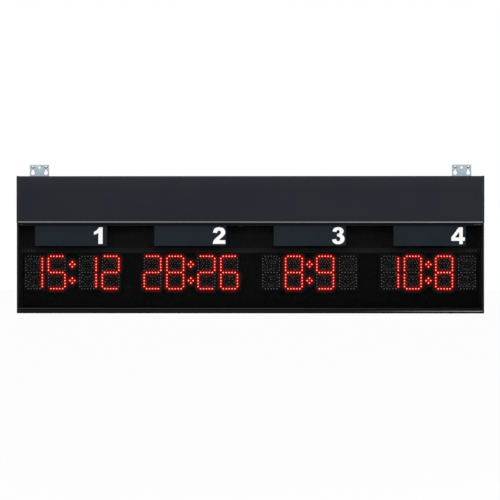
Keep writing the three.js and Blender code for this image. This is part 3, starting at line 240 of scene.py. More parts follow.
@dataclass(frozen=True)
class Coat:
    """A painted, plated, moulded or woven finish: a colour with tinted blotches and a bumpy grain.

    Blotches and grains are counted per metre, and a stretch below 1 makes the grain long on that axis. The
    swing is how far the grain moves the roughness.
    """

    name: str
    colour: Colour
    tint: Colour
    blotch: float = 7.0
    grain: float = 900.0
    stretch: Point = (1, 1, 1)
    depth: float = 0.12
    relief: float = 0.4 * MM
    rough: float = 0.55
    swing: float = 0.25
    metallic: float = 0.0
    specular: float = 0.25
    alpha: float = 1.0
    glow: Colour = BLACK
    power: float = 0.0
    zones: tuple[Zone, ...] = ()
    grain_share: float = 0.25
    blotch_edges: Flat = (0.36, 0.64)
    grain_edges: Flat = (0.3, 0.7)
    gloss_rough: float = 0.08

    @cache
    def material(self) -> bpy.types.Material:
        """Makes the material, once for each finish.

        Returns:
            The material.
        """
        made = bpy.data.materials.new(self.name)
        made.use_nodes = True
        made.cycles.emission_sampling = "NONE"
        graph = Graph(made.node_tree, "ShaderNodeOutputMaterial")
        place = graph.place()
        grain = graph.noise(place, self.grain, GRAIN_DETAIL, self.stretch)
        feeds = {
            "Base Color": self.paint(graph, place, grain),
            "Roughness": grain * self.swing + (self.rough - self.swing / 2),
            "Metallic": self.metallic,
            "Specular IOR Level": self.specular,
            "Coat Weight": self.gloss(graph),
            "Coat Roughness": self.gloss_rough,
            "Alpha": self.alpha,
            "Emission Color": opaque(self.light(graph)),
            "Emission Strength": self.power,
            "Normal": graph.bump(grain, self.depth, self.relief),
        }
        graph.finish(graph.node("ShaderNodeBsdfPrincipled", feeds=feeds))
        return made

    def gloss(self, graph: Graph) -> Value:
        """The weight of the clear coat: none."""
        return 0.0

    def light(self, graph: Graph) -> Tone:
        """The emission colour."""
        return self.glow

    def paint(self, graph: Graph, place: Signal, grain: Signal) -> Signal:
        """The base colour: main colour, blotches, grain and zones.

        Args:
            graph: The material's graph.
            place: The position.
            grain: The grain.

        Returns:
            The colour.
        """
        blotches = graph.noise(place, self.blotch, BLOTCH_DETAIL).step(*self.blotch_edges)
        grains = grain.step(*self.grain_edges)
        share = blotches * (1.0 - self.grain_share) + grains * self.grain_share
        colour = graph.mix(share, self.colour, self.tint)
        axes = graph.axes(place)
        for zone in self.zones:
            own: Tone = zone.colour
            if zone.far_colour:
                own = graph.mix(axes[0].step(*zone.turn), zone.colour, zone.far_colour)
            colour = graph.mix(axes[zone.axis].band(zone.low, zone.high, zone.soft), colour, own)
        return colour


@dataclass(frozen=True)
class Spangle(Coat):
    """Hot-dip galvanised steel, with crystals of slightly different greys."""

    crystal: float = 130.0
    pale: Colour = (0.50, 0.58, 0.62)
    contrast: float = 0.55

    def paint(self, graph: Graph, place: Signal, grain: Signal) -> Signal:
        """The base colour with paler crystals."""
        share = graph.crystals(place, self.crystal) * self.contrast
        return graph.mix(share, super().paint(graph, place, grain), self.pale)


@dataclass(frozen=True)
class Film(Coat):
    """A smoked sheet, whose gloss shows where it is seen from the side."""

    gloss_edges: Flat = (0.42, 0.85)

    def gloss(self, graph: Graph) -> Value:
        """The weight of the clear coat, which grows towards a grazing view."""
        return graph.node("ShaderNodeLayerWeight", out="Facing").step(*self.gloss_edges)


@dataclass(frozen=True)
class Brushed(Coat):
    """A dark metal finish, brushed along X."""

    grain: float = 700.0
    stretch: Point = (0.02, 1, 1)
    depth: float = 0.04
    rough: float = 0.5


@dataclass(frozen=True)
class Lens(Coat):
    """A moulded lens, clear or tinted."""

    grain: float = 3000.0
    depth: float = 0.02
    rough: float = 0.25
    swing: float = 0.1
    specular: float = 0.5


@dataclass(frozen=True)
class Halo(Coat):
    """The red light that lit lenses throw on the mask around them, painted as a glow read from the mesh.

    The base colour is the deep one where the glow value reaches the full one.
    """

    relief: float = 0.2 * MM
    deep: Colour = (0.006, 0.003, 0.003)
    full: float = 0.12

    def amount(self, graph: Graph) -> Signal:
        """The mesh's own glow value."""
        return graph.node("ShaderNodeAttribute", {"attribute_name": "glow"}, out="Fac")

    def light(self, graph: Graph) -> Tone:
        """The painted glow's emission colour, by the glow value."""
        return graph.mix(self.amount(graph), BLACK, self.glow)

    def paint(self, graph: Graph, place: Signal, grain: Signal) -> Signal:
        """The base colour: a dark film, deeper under the glow."""
        film = graph.mix(grain, self.colour, self.tint)
        return graph.mix(self.amount(graph).step(0.0, self.full), film, self.deep)


# The zone paints the top of the cover and the rear shell lighter, from z 0.262 upwards: painted light from
# above.
POWDER = Coat(
    "charcoal_powder_coat", (0.0150, 0.0185, 0.0245), (0.0180, 0.0200, 0.0245), blotch=3.5, grain=1500,
    depth=0.08, rough=0.6, specular=0.05, zones=(Zone(2, 0.262, 0.4, 0.045, (0.0225, 0.0240, 0.0290)),),
)
CAP_POWDER = Coat(
    "black_powder_coat", (0.0100, 0.0105, 0.0130), (0.0120, 0.0125, 0.0145), grain=1500, depth=0.08,
    rough=0.6, specular=0.05,
)
ZINC = Coat(
    "zinc_plate", (0.38, 0.40, 0.42), (0.47, 0.48, 0.50), blotch=30, grain=500, stretch=(0.06, 1, 1),
    depth=0.08, rough=0.4, metallic=0.85, specular=0.5,
)
DULL_SCREW = Coat(
    "dull_screw", (0.100, 0.102, 0.106), (0.125, 0.127, 0.130), blotch=200, grain=2500, depth=0.1,
    rough=0.5, metallic=0.3, specular=0.2,
)
SCREW_ZINC = Coat(
    "screw_zinc", (0.42, 0.43, 0.45), (0.55, 0.55, 0.56), blotch=200, grain=2500, depth=0.1, rough=0.3,
    metallic=0.8, specular=0.5,
)
GALVANISED = Spangle(
    "galvanised_steel", (0.325, 0.42, 0.475), (0.38, 0.46, 0.505), blotch=25, grain=700, depth=0.05,
    rough=0.5, metallic=0.25, specular=0.45,
)
PANE = Film(
    "smoked_pane", (0.0005, 0.0005, 0.0006), (0.0008, 0.0008, 0.0009), blotch=3, grain=60, depth=0.0,
    rough=0.12, swing=0.05, specular=0.0, alpha=0.4,
)
PLATE_VINYL = Coat(
    "plate_vinyl", (0.0120, 0.0160, 0.0225), (0.0145, 0.0185, 0.0250), blotch=12, grain=1800, depth=0.05,
    rough=0.5, specular=0.04,
)
NUMERAL_VINYL = Coat(
    "numeral_vinyl", (0.93, 0.93, 0.92), (0.90, 0.90, 0.90), blotch=20, grain=2200, depth=0.05, rough=0.5,
    specular=0.3,
)
MASK = Coat(
    "module_mask", (0.044, 0.044, 0.046), (0.053, 0.053, 0.055), blotch=60, grain=1600, depth=0.03,
    rough=0.8, specular=0.05,
)
# Painted light and shade on the carrier: its strip beside the number plates is painted lighter than its part
# behind the digits, and both are painted darker towards the right.
LOWER_CARRIER = Zone(2, -0.5, -0.020, 0.004, (0.0290, 0.0290, 0.0320), (0.0215, 0.0220, 0.0235))
UPPER_CARRIER = Zone(2, -0.020, 0.5, 0.004, (0.0500, 0.0500, 0.0540), (0.0370, 0.0375, 0.0405))
CARRIER = Coat(
    "carrier_black", (0.024, 0.024, 0.026), (0.028, 0.028, 0.030), blotch=15, grain=1500, depth=0.03,
    rough=0.8, specular=0.05, zones=(LOWER_CARRIER, UPPER_CARRIER),
)
# Its pale grey is painted light, which lifts the shade on the caps' inner walls and at the carrier's ends.
FOAM = Coat(
    "seal_foam", (0.080, 0.080, 0.083), (0.095, 0.095, 0.099), blotch=90, grain=1400, depth=0.25,
    rough=0.9, specular=0.02,
)
CLEAR_LENS = Lens("clear_lens", (0.85, 0.85, 0.87), (0.97, 0.97, 0.98), blotch=45)
# The inner lenses' blotches swing them between near black and near white from lens to lens: painted glints.
# Those inside a figure that is not plain also take a red tint and a faint glow: painted red light from the
# lit lenses around them.
INNER_LENS = Lens("inner_lens", (0.02, 0.02, 0.02), (0.98, 0.98, 0.99), blotch=170)
PAINTED_RED_LIGHT_LENS = Lens(
    "painted_red_light_lens", (0.02, 0.01, 0.01), (0.95, 0.66, 0.68), blotch=170, specular=0.4,
    glow=(1.0, 0.05, 0.03), power=0.06,
)
LIT_LENS = Lens(
    "lit_lens", (0.30, 0.02, 0.02), (0.35, 0.03, 0.03), blotch=900, glow=(1.0, 0.225, 0.19), power=7.0
)
# Painted glow: the red light of the lit lenses, drawn as emission on a film over the mask.
HALO = Halo(
    "lens_halo", (0.044, 0.044, 0.046), (0.053, 0.053, 0.055), grain=1600, depth=0.03, rough=0.8,
    specular=0.05, glow=(1.0, 0.018, 0.006), power=4.0,
)
BLACK_MOULDING = Coat(
    "black_moulding", (0.012, 0.012, 0.013), (0.018, 0.018, 0.019), blotch=60, grain=2600, depth=0.2,
    rough=0.5, specular=0.35,
)
# Near black: painted shade in the screws' recesses and the supply's vent holes, and the black plastic of the
# control board's header.
RECESS_SHADE_AND_BLACK = Coat(
    "recess_shade_and_black", (0.004, 0.004, 0.004), (0.006, 0.006, 0.006), blotch=60, grain=2000, depth=0.05,
    rough=0.8, specular=0.1,
)
# Crescents of painted shade under the hangers' small holes.
HOLE_SHADE = Coat(
    "hole_shade", (0.055, 0.065, 0.070), (0.075, 0.085, 0.090), blotch=150, grain=2000, depth=0.05,
    rough=0.6, specular=0.2,
)
SUPPLY_SHEET = Coat(
    "supply_sheet", (0.40, 0.41, 0.42), (0.47, 0.48, 0.49), blotch=18, grain=600, stretch=(0.05, 1, 1),
    depth=0.06, rough=0.42, metallic=0.8, specular=0.5,
)
SOLDER_MASK = Coat(
    "solder_mask", (0.010, 0.060, 0.022), (0.014, 0.085, 0.030), blotch=110, grain=1900, depth=0.08,
    rough=0.35, specular=0.45,
)
GOLD_PAD = Coat(
    "gold_pad", (0.62, 0.42, 0.12), (0.70, 0.50, 0.18), blotch=300, grain=3000, depth=0.05, rough=0.3,
    metallic=0.9, specular=0.5,
)
BRASS = Coat(
    "pin_brass", (0.50, 0.37, 0.14), (0.58, 0.45, 0.20), blotch=200, grain=2400, stretch=(1, 1, 0.1),
    depth=0.06, rough=0.3, metallic=0.9, specular=0.5,
)
JACKET = Coat(
    "lead_jacket", (0.020, 0.020, 0.022), (0.030, 0.030, 0.032), blotch=40, grain=2200, depth=0.15,
    rough=0.5, specular=0.35,
)
RIBBON = Coat(
    "ribbon_jacket", (0.30, 0.31, 0.33), (0.38, 0.39, 0.41), blotch=30, grain=1600, stretch=(0.02, 1, 1),
    depth=0.3, rough=0.5, specular=0.35,
)
NICKEL = Coat(
    "magnet_nickel", (0.60, 0.60, 0.60), (0.68, 0.68, 0.67), blotch=90, grain=1500, depth=0.03, rough=0.2,
    metallic=0.95, specular=0.5,
)
SEAL = Coat(
    "edge_seal", (0.085, 0.085, 0.095), (0.11, 0.11, 0.12), blotch=30, grain=1800, depth=0.1, specular=0.3
)
BRIGHT_TRIM = Brushed(
    "bright_trim", (0.085, 0.085, 0.090), (0.110, 0.110, 0.116), blotch=40, grain=800, depth=0.06,
    metallic=0.3, specular=0.2,
)


def placed(name: str, data: bpy.types.ID) -> bpy.types.Object:
    """Puts a mesh, camera or lamp in the scene.

    Args:
        name: The object's name.
        data: What it shows.

    Returns:
        The new object.
    """
    made = bpy.data.objects.new(name, data)
    bpy.context.scene.collection.objects.link(made)
    return made


def added(name: str, data: bpy.types.Mesh, coat: Coat, body: Body = Body.CABINET) -> None:
    """Puts a mesh in the scene as a piece.

    Args:
        name: The piece's name.
        data: Its mesh.
        coat: Its finish.
        body: The body that carries it.
    """
    data.shade_smooth()
    data.set_sharp_from_angle(angle=SMOOTH_ANGLE)
    data.materials.append(coat.material())
    made = placed(name, data)
    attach(made, body.value)
    LOG.info("piece %s: %d faces on %s", name, len(data.polygons), body.value)


def dress(coat: Coat, *nodes: str) -> None:
    """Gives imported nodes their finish.

    Args:
        coat: The finish.
        nodes: Names of the nodes.
    """
    for node in nodes:
        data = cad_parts[node].data
        data.materials.clear()
        data.materials.append(coat.material())
        LOG.info("node %s: %s", node, coat.name)


def middle(node: str) -> Flat:
    """The middle of a node, as seen from the front."""
    low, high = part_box(node)
    return ((low.x + high.x) / 2, (low.z + high.z) / 2)


def inner_face(side: int) -> float:
    """X of the inner face of the end cap on a side."""
    low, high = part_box("end_cap_left" if side < 0 else "end_cap_right")
    return high.x if side < 0 else low.x


def corners(node: str, inset: float) -> list[Flat]:
    """The four places that lie an inset from a node's corners, as seen from the front."""
    low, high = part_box(node)
    return [(x, z) for x in (low.x + inset, high.x - inset) for z in (low.z + inset, high.z - inset)]


def shifted(places: Iterable[Flat], by: Flat) -> list[Flat]:
    """Places moved along both axes."""
    return [(x + by[0], z + by[1]) for x, z in places]


def run(start: Flat, end: Flat, count: int) -> list[Flat]:
    """Evenly spaced places between two ends, both included."""
    return [tuple(a + (b - a) * i / (count - 1) for a, b in zip(start, end)) for i in range(count)]


def arc(centre: Flat, radius: float, start: float, end: float, steps: int) -> list[Flat]:
    """Points of an arc between two angles in degrees, both ends included."""
    turns = [math.radians(start + (end - start) * i / steps) for i in range(steps + 1)]
    return shifted([(radius * math.cos(turn), radius * math.sin(turn)) for turn in turns], centre)


class Shape:
    """Gathers closed forms in one mesh."""

    def __init__(self) -> None:
        """Starts an empty mesh."""
        self.mesh = bmesh.new()

    def block(self, low: Point, high: Point, bevel: float = 0.0) -> "Shape":
        """Adds a block between two corners, with rounded edges.

        Args:
            low: Its lowest corner.
            high: Its highest corner.
            bevel: Radius of its edges.

        Returns:
            The shape itself.
        """
        size = [b - a for a, b in zip(low, high)]
        centre = [(a + b) / 2 for a, b in zip(low, high)]
        turn = Matrix.Translation(centre) @ Matrix.Diagonal((*size, 1.0))
        made = bmesh.ops.create_cube(self.mesh, size=1.0, matrix=turn)
        if bevel:
            edges = list({edge for vert in made["verts"] for edge in vert.link_edges})
            bmesh.ops.bevel(
                self.mesh, geom=edges, offset=bevel, segments=BEVEL_SEGMENTS, profile=BEVEL_PROFILE,
                affect="EDGES",
            )
        return self

    def turned(self, foot: Point, axis: Point, profile: Profile, sides: int = 16) -> "Shape":
        """Adds a turned form.

        Args:
            foot: The centre of its foot.
            axis: Its direction.
            profile: Radius and height of each ring, from foot to crown.
            sides: Points of a ring.

        Returns:
            The shape itself.
        """
        along = Vector(axis).normalized()
        across = along.orthogonal().normalized()
        third = along.cross(across)
        angles = [2 * math.pi * i / sides for i in range(sides)]
        arms = [across * math.cos(angle) + third * math.sin(angle) for angle in angles]
        rings = []
        for radius, height in profile:
            centre = Vector(foot) + along * height
            rings.append([self.mesh.verts.new(centre + arm * radius) for arm in arms])
        for low, high in zip(rings, rings[1:]):
            for i in range(sides):
                j = (i + 1) % sides
                self.mesh.faces.new((low[i], low[j], high[j], high[i]))
        self.mesh.faces.new(rings[0][::-1])
        self.mesh.faces.new(rings[-1])
        return self

    def prism(self, outlines: Sequence[Sequence[Flat]], back: float, front: float) -> "Shape":
        """Adds a flat piece cut to an outline, standing in the XZ plane.

        Args:
            outlines: The outer outline, then its holes, as (x, z) points.
            back: Y of its rear face.
            front: Y of its front face.

        Returns:
            The shape itself.
        """
        edges = []
        for outline in outlines:
            ring = [self.mesh.verts.new((x, back, z)) for x, z in outline]
            edges += [self.mesh.edges.new(pair) for pair in zip(ring, ring[1:] + ring[:1])]
        flat = bmesh.ops.triangle_fill(self.mesh, use_beauty=True, edges=edges)
        faces = [item for item in flat["geom"] if isinstance(item, bmesh.types.BMFace)]
        grown = bmesh.ops.extrude_face_region(self.mesh, geom=faces, use_keep_orig=True)
        moved = [item for item in grown["geom"] if isinstance(item, bmesh.types.BMVert)]
        bmesh.ops.translate(self.mesh, verts=moved, vec=(0, front - back, 0))
        return self

    def piece(self, name: str, coat: Coat, body: Body = Body.CABINET, slot: str = "") -> None:
        """Turns the gathered forms into a piece that rides on a body.

        Args:
            name: The piece's name.
            coat: Its finish.
            body: The body that carries it.
            slot: Not used.
        """
        bmesh.ops.recalc_face_normals(self.mesh, faces=self.mesh.faces)
        data = bpy.data.meshes.new(name)
        self.mesh.to_mesh(data)
        self.mesh.free()
        added(name, data, coat, body)


@dataclass(frozen=True)
class Pad:
    """A block on a face that looks forward: half its width and height, and its front and rear depth."""

    half: Flat
    depth: Flat
    bevel: float = 0.0

    def on(self, shape: Shape, x: float, z: float, face: float) -> Shape:
        """Adds the block to a shape, about (x, z)."""
        (wide, high), (front, rear) = self.half, self.depth
        return shape.block((x - wide, face - front, z - high), (x + wide, face - rear, z + high), self.bevel)


PAN_HEAD: Profile = ((1.0, 0.0), (1.0, 0.35), (0.86, 0.72), (0.55, 0.94), (0.2, 1.0))
SUNK_HEAD: Profile = ((0.7, 0.0), (1.0, 0.8), (1.0, 0.95), (0.96, 1.0))
FLUSH_RIVET: Profile = ((0.8, 0.0), (1.0, 0.6), (0.97, 0.82), (0.62, 0.92), (0.2, 1.0))


def sized(profile: Profile, radius: float, height: float) -> Profile:
    """A profile of shares, brought to a radius and a height."""
    return tuple((share * radius, rise * height) for share, rise in profile)


@dataclass
class Fasteners:
    """Screws of one size and direction, with crossed recesses drawn as thin raised crosses of painted shade,
    so that they show.

    A recess has its half length and half width as shares of the head's radius.
    """

    name: str
    axis: Point = FORWARD
    radius: float = 2.6 * MM
    height: float = 1.6 * MM
    profile: Profile = PAN_HEAD
    recess: Flat = (0.55, 0.11)
    recess_rise: float = 0.03 * MM

    def build(self, places: Iterable[Point], coat: Coat = SCREW_ZINC) -> None:
        """Builds the heads and the painted shade of their recesses.

        Args:
            places: Centres of the heads' seats.
            coat: Finish of the heads.
        """
        heads, slots = Shape(), Shape()
        level = [i for i in range(3) if self.axis[i] == 0]
        for place in places:
            heads.turned(place, self.axis, sized(self.profile, self.radius, self.height))
            crown = Vector(place) + Vector(self.axis) * (self.height + self.recess_rise / 2)
            for axes in (level, level[::-1]):
                half = [self.recess_rise] * 3
                for i, share in zip(axes, self.recess):
                    half[i] = self.radius * share
                slots.block([c - h for c, h in zip(crown, half)], [c + h for c, h in zip(crown, half)])
        heads.piece(self.name, coat)
        slots.piece(self.name + "_recess_shades", RECESS_SHADE_AND_BLACK)


@dataclass
class HingeRivets:
    """The domed rivets along both leaves of the cover's hinge."""

    radius: float = 3.4 * MM
    height: float = 0.9 * MM
    inset: float = 6 * MM
    count: int = 14

    def build(self, leaf: str, wall: str, body: Body) -> None:
        """Builds one leaf's row.

        Args:
            leaf: The leaf, fixed or cover.
            wall: The node whose top takes the rivets.
            body: The body that carries them.
        """
        low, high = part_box("hinge_leaf_" + leaf)
        y = high.y - self.inset if leaf == "fixed" else low.y + self.inset
        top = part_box(wall)[1].z
        rivets = Shape()
        for i in range(self.count):
            place = (low.x + (high.x - low.x) * (i + 0.5) / self.count, y, top)
            rivets.turned(place, UP, sized(PAN_HEAD, self.radius, self.height))
        rivets.piece("hinge_rivets_" + leaf, CAP_POWDER, body)


@dataclass
class Cabinet:
    """Rear shell, end caps and shelf, with their seals, screws and rivets."""

    seal_width: float = 1.0 * MM
    seal_depth: float = 24 * MM
    seal_edge: float = 0.3 * MM
    seal_drop: float = 8 * MM
    sunk_depth: float = 2 * MM
    sunk_setback: float = 16 * MM
    sunk_inset: float = 44 * MM
    head_radius: float = 4.3 * MM
    head_gap: float = 0.15 * MM
    flush_depth: float = 0.8 * MM
    rail_inset: float = 30 * MM
    corner_inset: float = 12 * MM

    def build(self) -> None:
        """Dresses the nodes and builds the small pieces."""
        dress(POWDER, "rear_shell")
        dress(CAP_POWDER, "end_cap_left", "end_cap_right")
        dress(ZINC, "bay_shelf", "carrier_rail_left", "carrier_rail_centre", "carrier_rail_right")
        self.seals()
        HingeRivets().build("fixed", "rear_shell", Body.CABINET)
        self.cap_screws()
        self.rear_rivets()

    def seals(self) -> None:
        """Builds the thin seal between each end cap and the cover."""
        low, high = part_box("upper_cover")
        front, rear, top = low.y + self.seal_edge, low.y + self.seal_depth, high.z - self.seal_drop
        for name, side in SIDES:
            edge = inner_face(side)
            x0, x1 = sorted((edge, edge - side * self.seal_width))
            seal = Shape().block((x0, front, low.z), (x1, rear, top), self.seal_edge)
            seal.piece("cap_seal_" + name, SEAL)

    def cap_screws(self) -> None:
        """Builds the countersunk screws in both end caps."""
        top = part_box("rear_shell")[1].z - self.sunk_inset
        places = [(-self.sunk_setback, z) for z in (top, 0.0, -top)]
        for rail in ("mid_rail", "bottom_rail"):
            low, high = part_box(rail)
            places.append(((low.y + high.y) / 2, (low.z + high.z) / 2))
        height = self.sunk_depth - self.head_gap
        for name, side in SIDES:
            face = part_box("end_cap_" + name)[0 if side < 0 else 1].x
            seats = [(face - side * self.sunk_depth, y, z) for y, z in places]
            screws = f"end_cap_{name}_screws"
            Fasteners(screws, (side, 0.0, 0.0), self.head_radius, height, SUNK_HEAD).build(seats)

    def rear_rivets(self) -> None:
        """Builds the flush rivets in the back wall."""
        places: list[Flat] = []
        for name in ("left", "centre", "right"):
            rail = "carrier_rail_" + name
            low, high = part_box(rail)
            places += [(middle(rail)[0], z) for z in (low.z + self.rail_inset, high.z - self.rail_inset)]
        for node in ("power_supply", "control_board"):
            places += corners(node, self.corner_inset)
        rivets = Shape()
        profile = sized(FLUSH_RIVET, self.head_radius, self.flush_depth - self.head_gap)
        for x, z in places:
            rivets.turned((x, -self.flush_depth, z), BACKWARD, profile)
        rivets.piece("rear_rivets", SCREW_ZINC)


@dataclass
class Cover:
    """The hinged upper cover, its hinge and its magnet strikers."""

    striker_half: Flat = (10 * MM, 5 * MM)
    striker_thickness: float = 0.25 * MM
    striker_edge: float = 0.1 * MM

    def build(self) -> None:
        """Dresses the nodes and builds the rivets and the striker over each magnet."""
        dress(POWDER, "upper_cover")
        dress(ZINC, "hinge_leaf_fixed", "hinge_leaf_cover", "hinge_pin")
        dress(NICKEL, "cover_magnet_left", "cover_magnet_right")
        HingeRivets().build("cover", "upper_cover", Body.COVER)
        (wide, deep), bottom = self.striker_half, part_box("upper_cover")[0].z
        z0, z1 = bottom - self.striker_thickness, bottom + self.striker_thickness / 2
        for name, _ in SIDES:
            low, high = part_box("cover_magnet_" + name)
            x, y = (low.x + high.x) / 2, (low.y + high.y) / 2
            striker = Shape().block((x - wide, y - deep, z0), (x + wide, y + deep, z1), self.striker_edge)
            striker.piece("cover_striker_" + name, ZINC, Body.COVER)


@dataclass
class Rails:
    """The rails above and below the window, with their end screws, the clip on the band and the strip of
    painted highlight in the bottom rail's groove.

    The ridge's painted highlight is measured down from the bottom rail's top, the edge's painted shade and
    the highlight strip up from its foot.
    """

    lip: Point = (93.5 * MM, 96.8 * MM, 99.9 * MM)
    lip_soft: float = 0.15 * MM
    ridge: Flat = (5.5 * MM, 1.6 * MM)
    ridge_soft: float = 0.2 * MM
    edge: Flat = (-2 * MM, 5 * MM)
    edge_soft: float = 0.4 * MM
    line_rise: float = 9.3 * MM
    line_height: float = 1.3 * MM
    line_from: float = -979 * MM
    line_gap: float = 1 * MM
    line_depth: Flat = (0.05 * MM, 0.8 * MM)
    line_bevel: float = 0.2 * MM
    band_setback: float = 2.5 * MM
    clip: Pad = Pad((17 * MM, 0.7 * MM), (0.5 * MM, -0.4 * MM), 0.2 * MM)
    clip_place: Flat = (974 * MM, 85.7 * MM)
    band_screw: Flat = (981.6 * MM, 87.3 * MM)
    rail_screw: Flat = (988.0 * MM, -284.5 * MM)
    rail_head: Flat = (2.2 * MM, 1.2 * MM)

    def build(self) -> None:
        """Dresses the nodes and builds the small pieces."""
        # The lip's pale bands are partly the bare metal of the rail's nose and partly painted highlight,
        # which moves from the upper band at the left to the lower band at the right.
        low, bright, high = self.lip
        lip = (
            Zone(2, low, bright, self.lip_soft, (0.128, 0.128, 0.134), (0.235, 0.235, 0.243)),
            Zone(2, bright, high, self.lip_soft, (0.217, 0.218, 0.228), (0.128, 0.128, 0.132), (-0.7, 0.4)),
        )
        dark = ((0.0055, 0.0055, 0.0070), (0.007, 0.007, 0.0085))
        dress(Brushed("mid_rail_finish", *dark, specular=0.05, zones=lip), "mid_rail")
        # Painted light on the bottom rail: a painted highlight along its top, pale at the left and dim at
        # the right, and painted shade along its foot, darkest at the left and grey towards the right.
        foot, top = (corner.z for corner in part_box("bottom_rail"))
        (down, up), (start, end) = self.ridge, self.edge
        pale, dim = (0.034, 0.034, 0.036), (0.007, 0.007, 0.008)
        shade, grey = (0.0008, 0.0008, 0.001), (0.010, 0.010, 0.011)
        strips = (
            Zone(2, top - down, top - up, self.ridge_soft, pale, dim, (-0.1, 1.0)),
            Zone(2, foot + start, foot + end, self.edge_soft, shade, grey),
        )
        darker = ((0.0045, 0.0045, 0.0055), (0.006, 0.006, 0.007))
        dress(Brushed("bottom_rail_finish", *darker, specular=0.02, zones=strips), "bottom_rail")
        self.trim()
        self.screws()

    def band(self) -> float:
        """Y of the band that holds the window."""
        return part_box("window")[0].y - self.band_setback

    def trim(self) -> None:
        """Builds the strip in the bottom rail's groove, which carries a painted highlight, and the clip on
        the band.
        """
        low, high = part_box("bottom_rail")
        # Painted highlight on the strip: near black over most of the rail, growing to near white at the
        # right end.
        bright = Zone(0, -2.0, 2.0, 0.01, (0.012, 0.012, 0.014), (0.85, 0.85, 0.86), (0.4, 1.12))
        coat = Brushed(
            "groove_painted_highlight", (0.02, 0.02, 0.02), (0.03, 0.03, 0.03), grain=800, depth=0.12, rough=0.35,
            specular=0.3, zones=(bright,),
        )
        (front, rear), foot = self.line_depth, low.z + self.line_rise - self.line_height / 2
        start = (self.line_from, low.y + front, foot)
        end = (high.x - self.line_gap, low.y + rear, foot + self.line_height)
        Shape().block(start, end, self.line_bevel).piece("bottom_rail_painted_highlight", coat, slot="rail_paint")
        self.clip.on(Shape(), *self.clip_place, self.band()).piece("band_clip", BRIGHT_TRIM)

    def screws(self) -> None:
        """Builds the screws near the rails' ends."""
        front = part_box("bottom_rail")[0].y
        for screws, y, (x, z) in (
            (Fasteners("band_screws"), self.band(), self.band_screw),
            (Fasteners("rail_screws", FORWARD, *self.rail_head), front, self.rail_screw),
        ):
            screws.build([(side * x, y, z) for side in (-1, 1)], DULL_SCREW)


class Segment(Enum):
    """The seven segments of a digit, each with its middle as shares of the digit's column and row."""

    TOP = (0, 1)
    MIDDLE = (0, 0)
    BOTTOM = (0, -1)
    UPPER_RIGHT = (1, 0.5)
    LOWER_RIGHT = (1, -0.5)
    UPPER_LEFT = (-1, 0.5)
    LOWER_LEFT = (-1, -0.5)


LEVEL = (Segment.TOP, Segment.MIDDLE, Segment.BOTTOM)
RIGHT = (Segment.UPPER_RIGHT, Segment.LOWER_RIGHT)
LEFT = (Segment.UPPER_LEFT, Segment.LOWER_LEFT)
LIT: dict[str, tuple[Segment, ...]] = {
    " ": (),
    "0": (Segment.TOP, Segment.BOTTOM, *RIGHT, *LEFT),
    "1": RIGHT,
    "2": (*LEVEL, Segment.UPPER_RIGHT, Segment.LOWER_LEFT),
    "5": (*LEVEL, Segment.UPPER_LEFT, Segment.LOWER_RIGHT),
    "6": (*LEVEL, *LEFT, Segment.LOWER_RIGHT),
    "8": tuple(Segment),
    "9": (*LEVEL, *RIGHT, Segment.UPPER_LEFT),
}
SCORES: tuple[str, ...] = ("1512", "2826", " 89 ", "108 ")
LENS_FOOT = -0.2
LENS_RINGS: Profile = ((0.97, 0.35), (0.72, 0.78), (0.3, 0.98))


def clear(place: Flat, others: Iterable[Flat], gap: float) -> bool:
    """Whether a place keeps at least a gap from all others."""
    return all(math.hypot(place[0] - x, place[1] - z) >= gap for x, z in others)


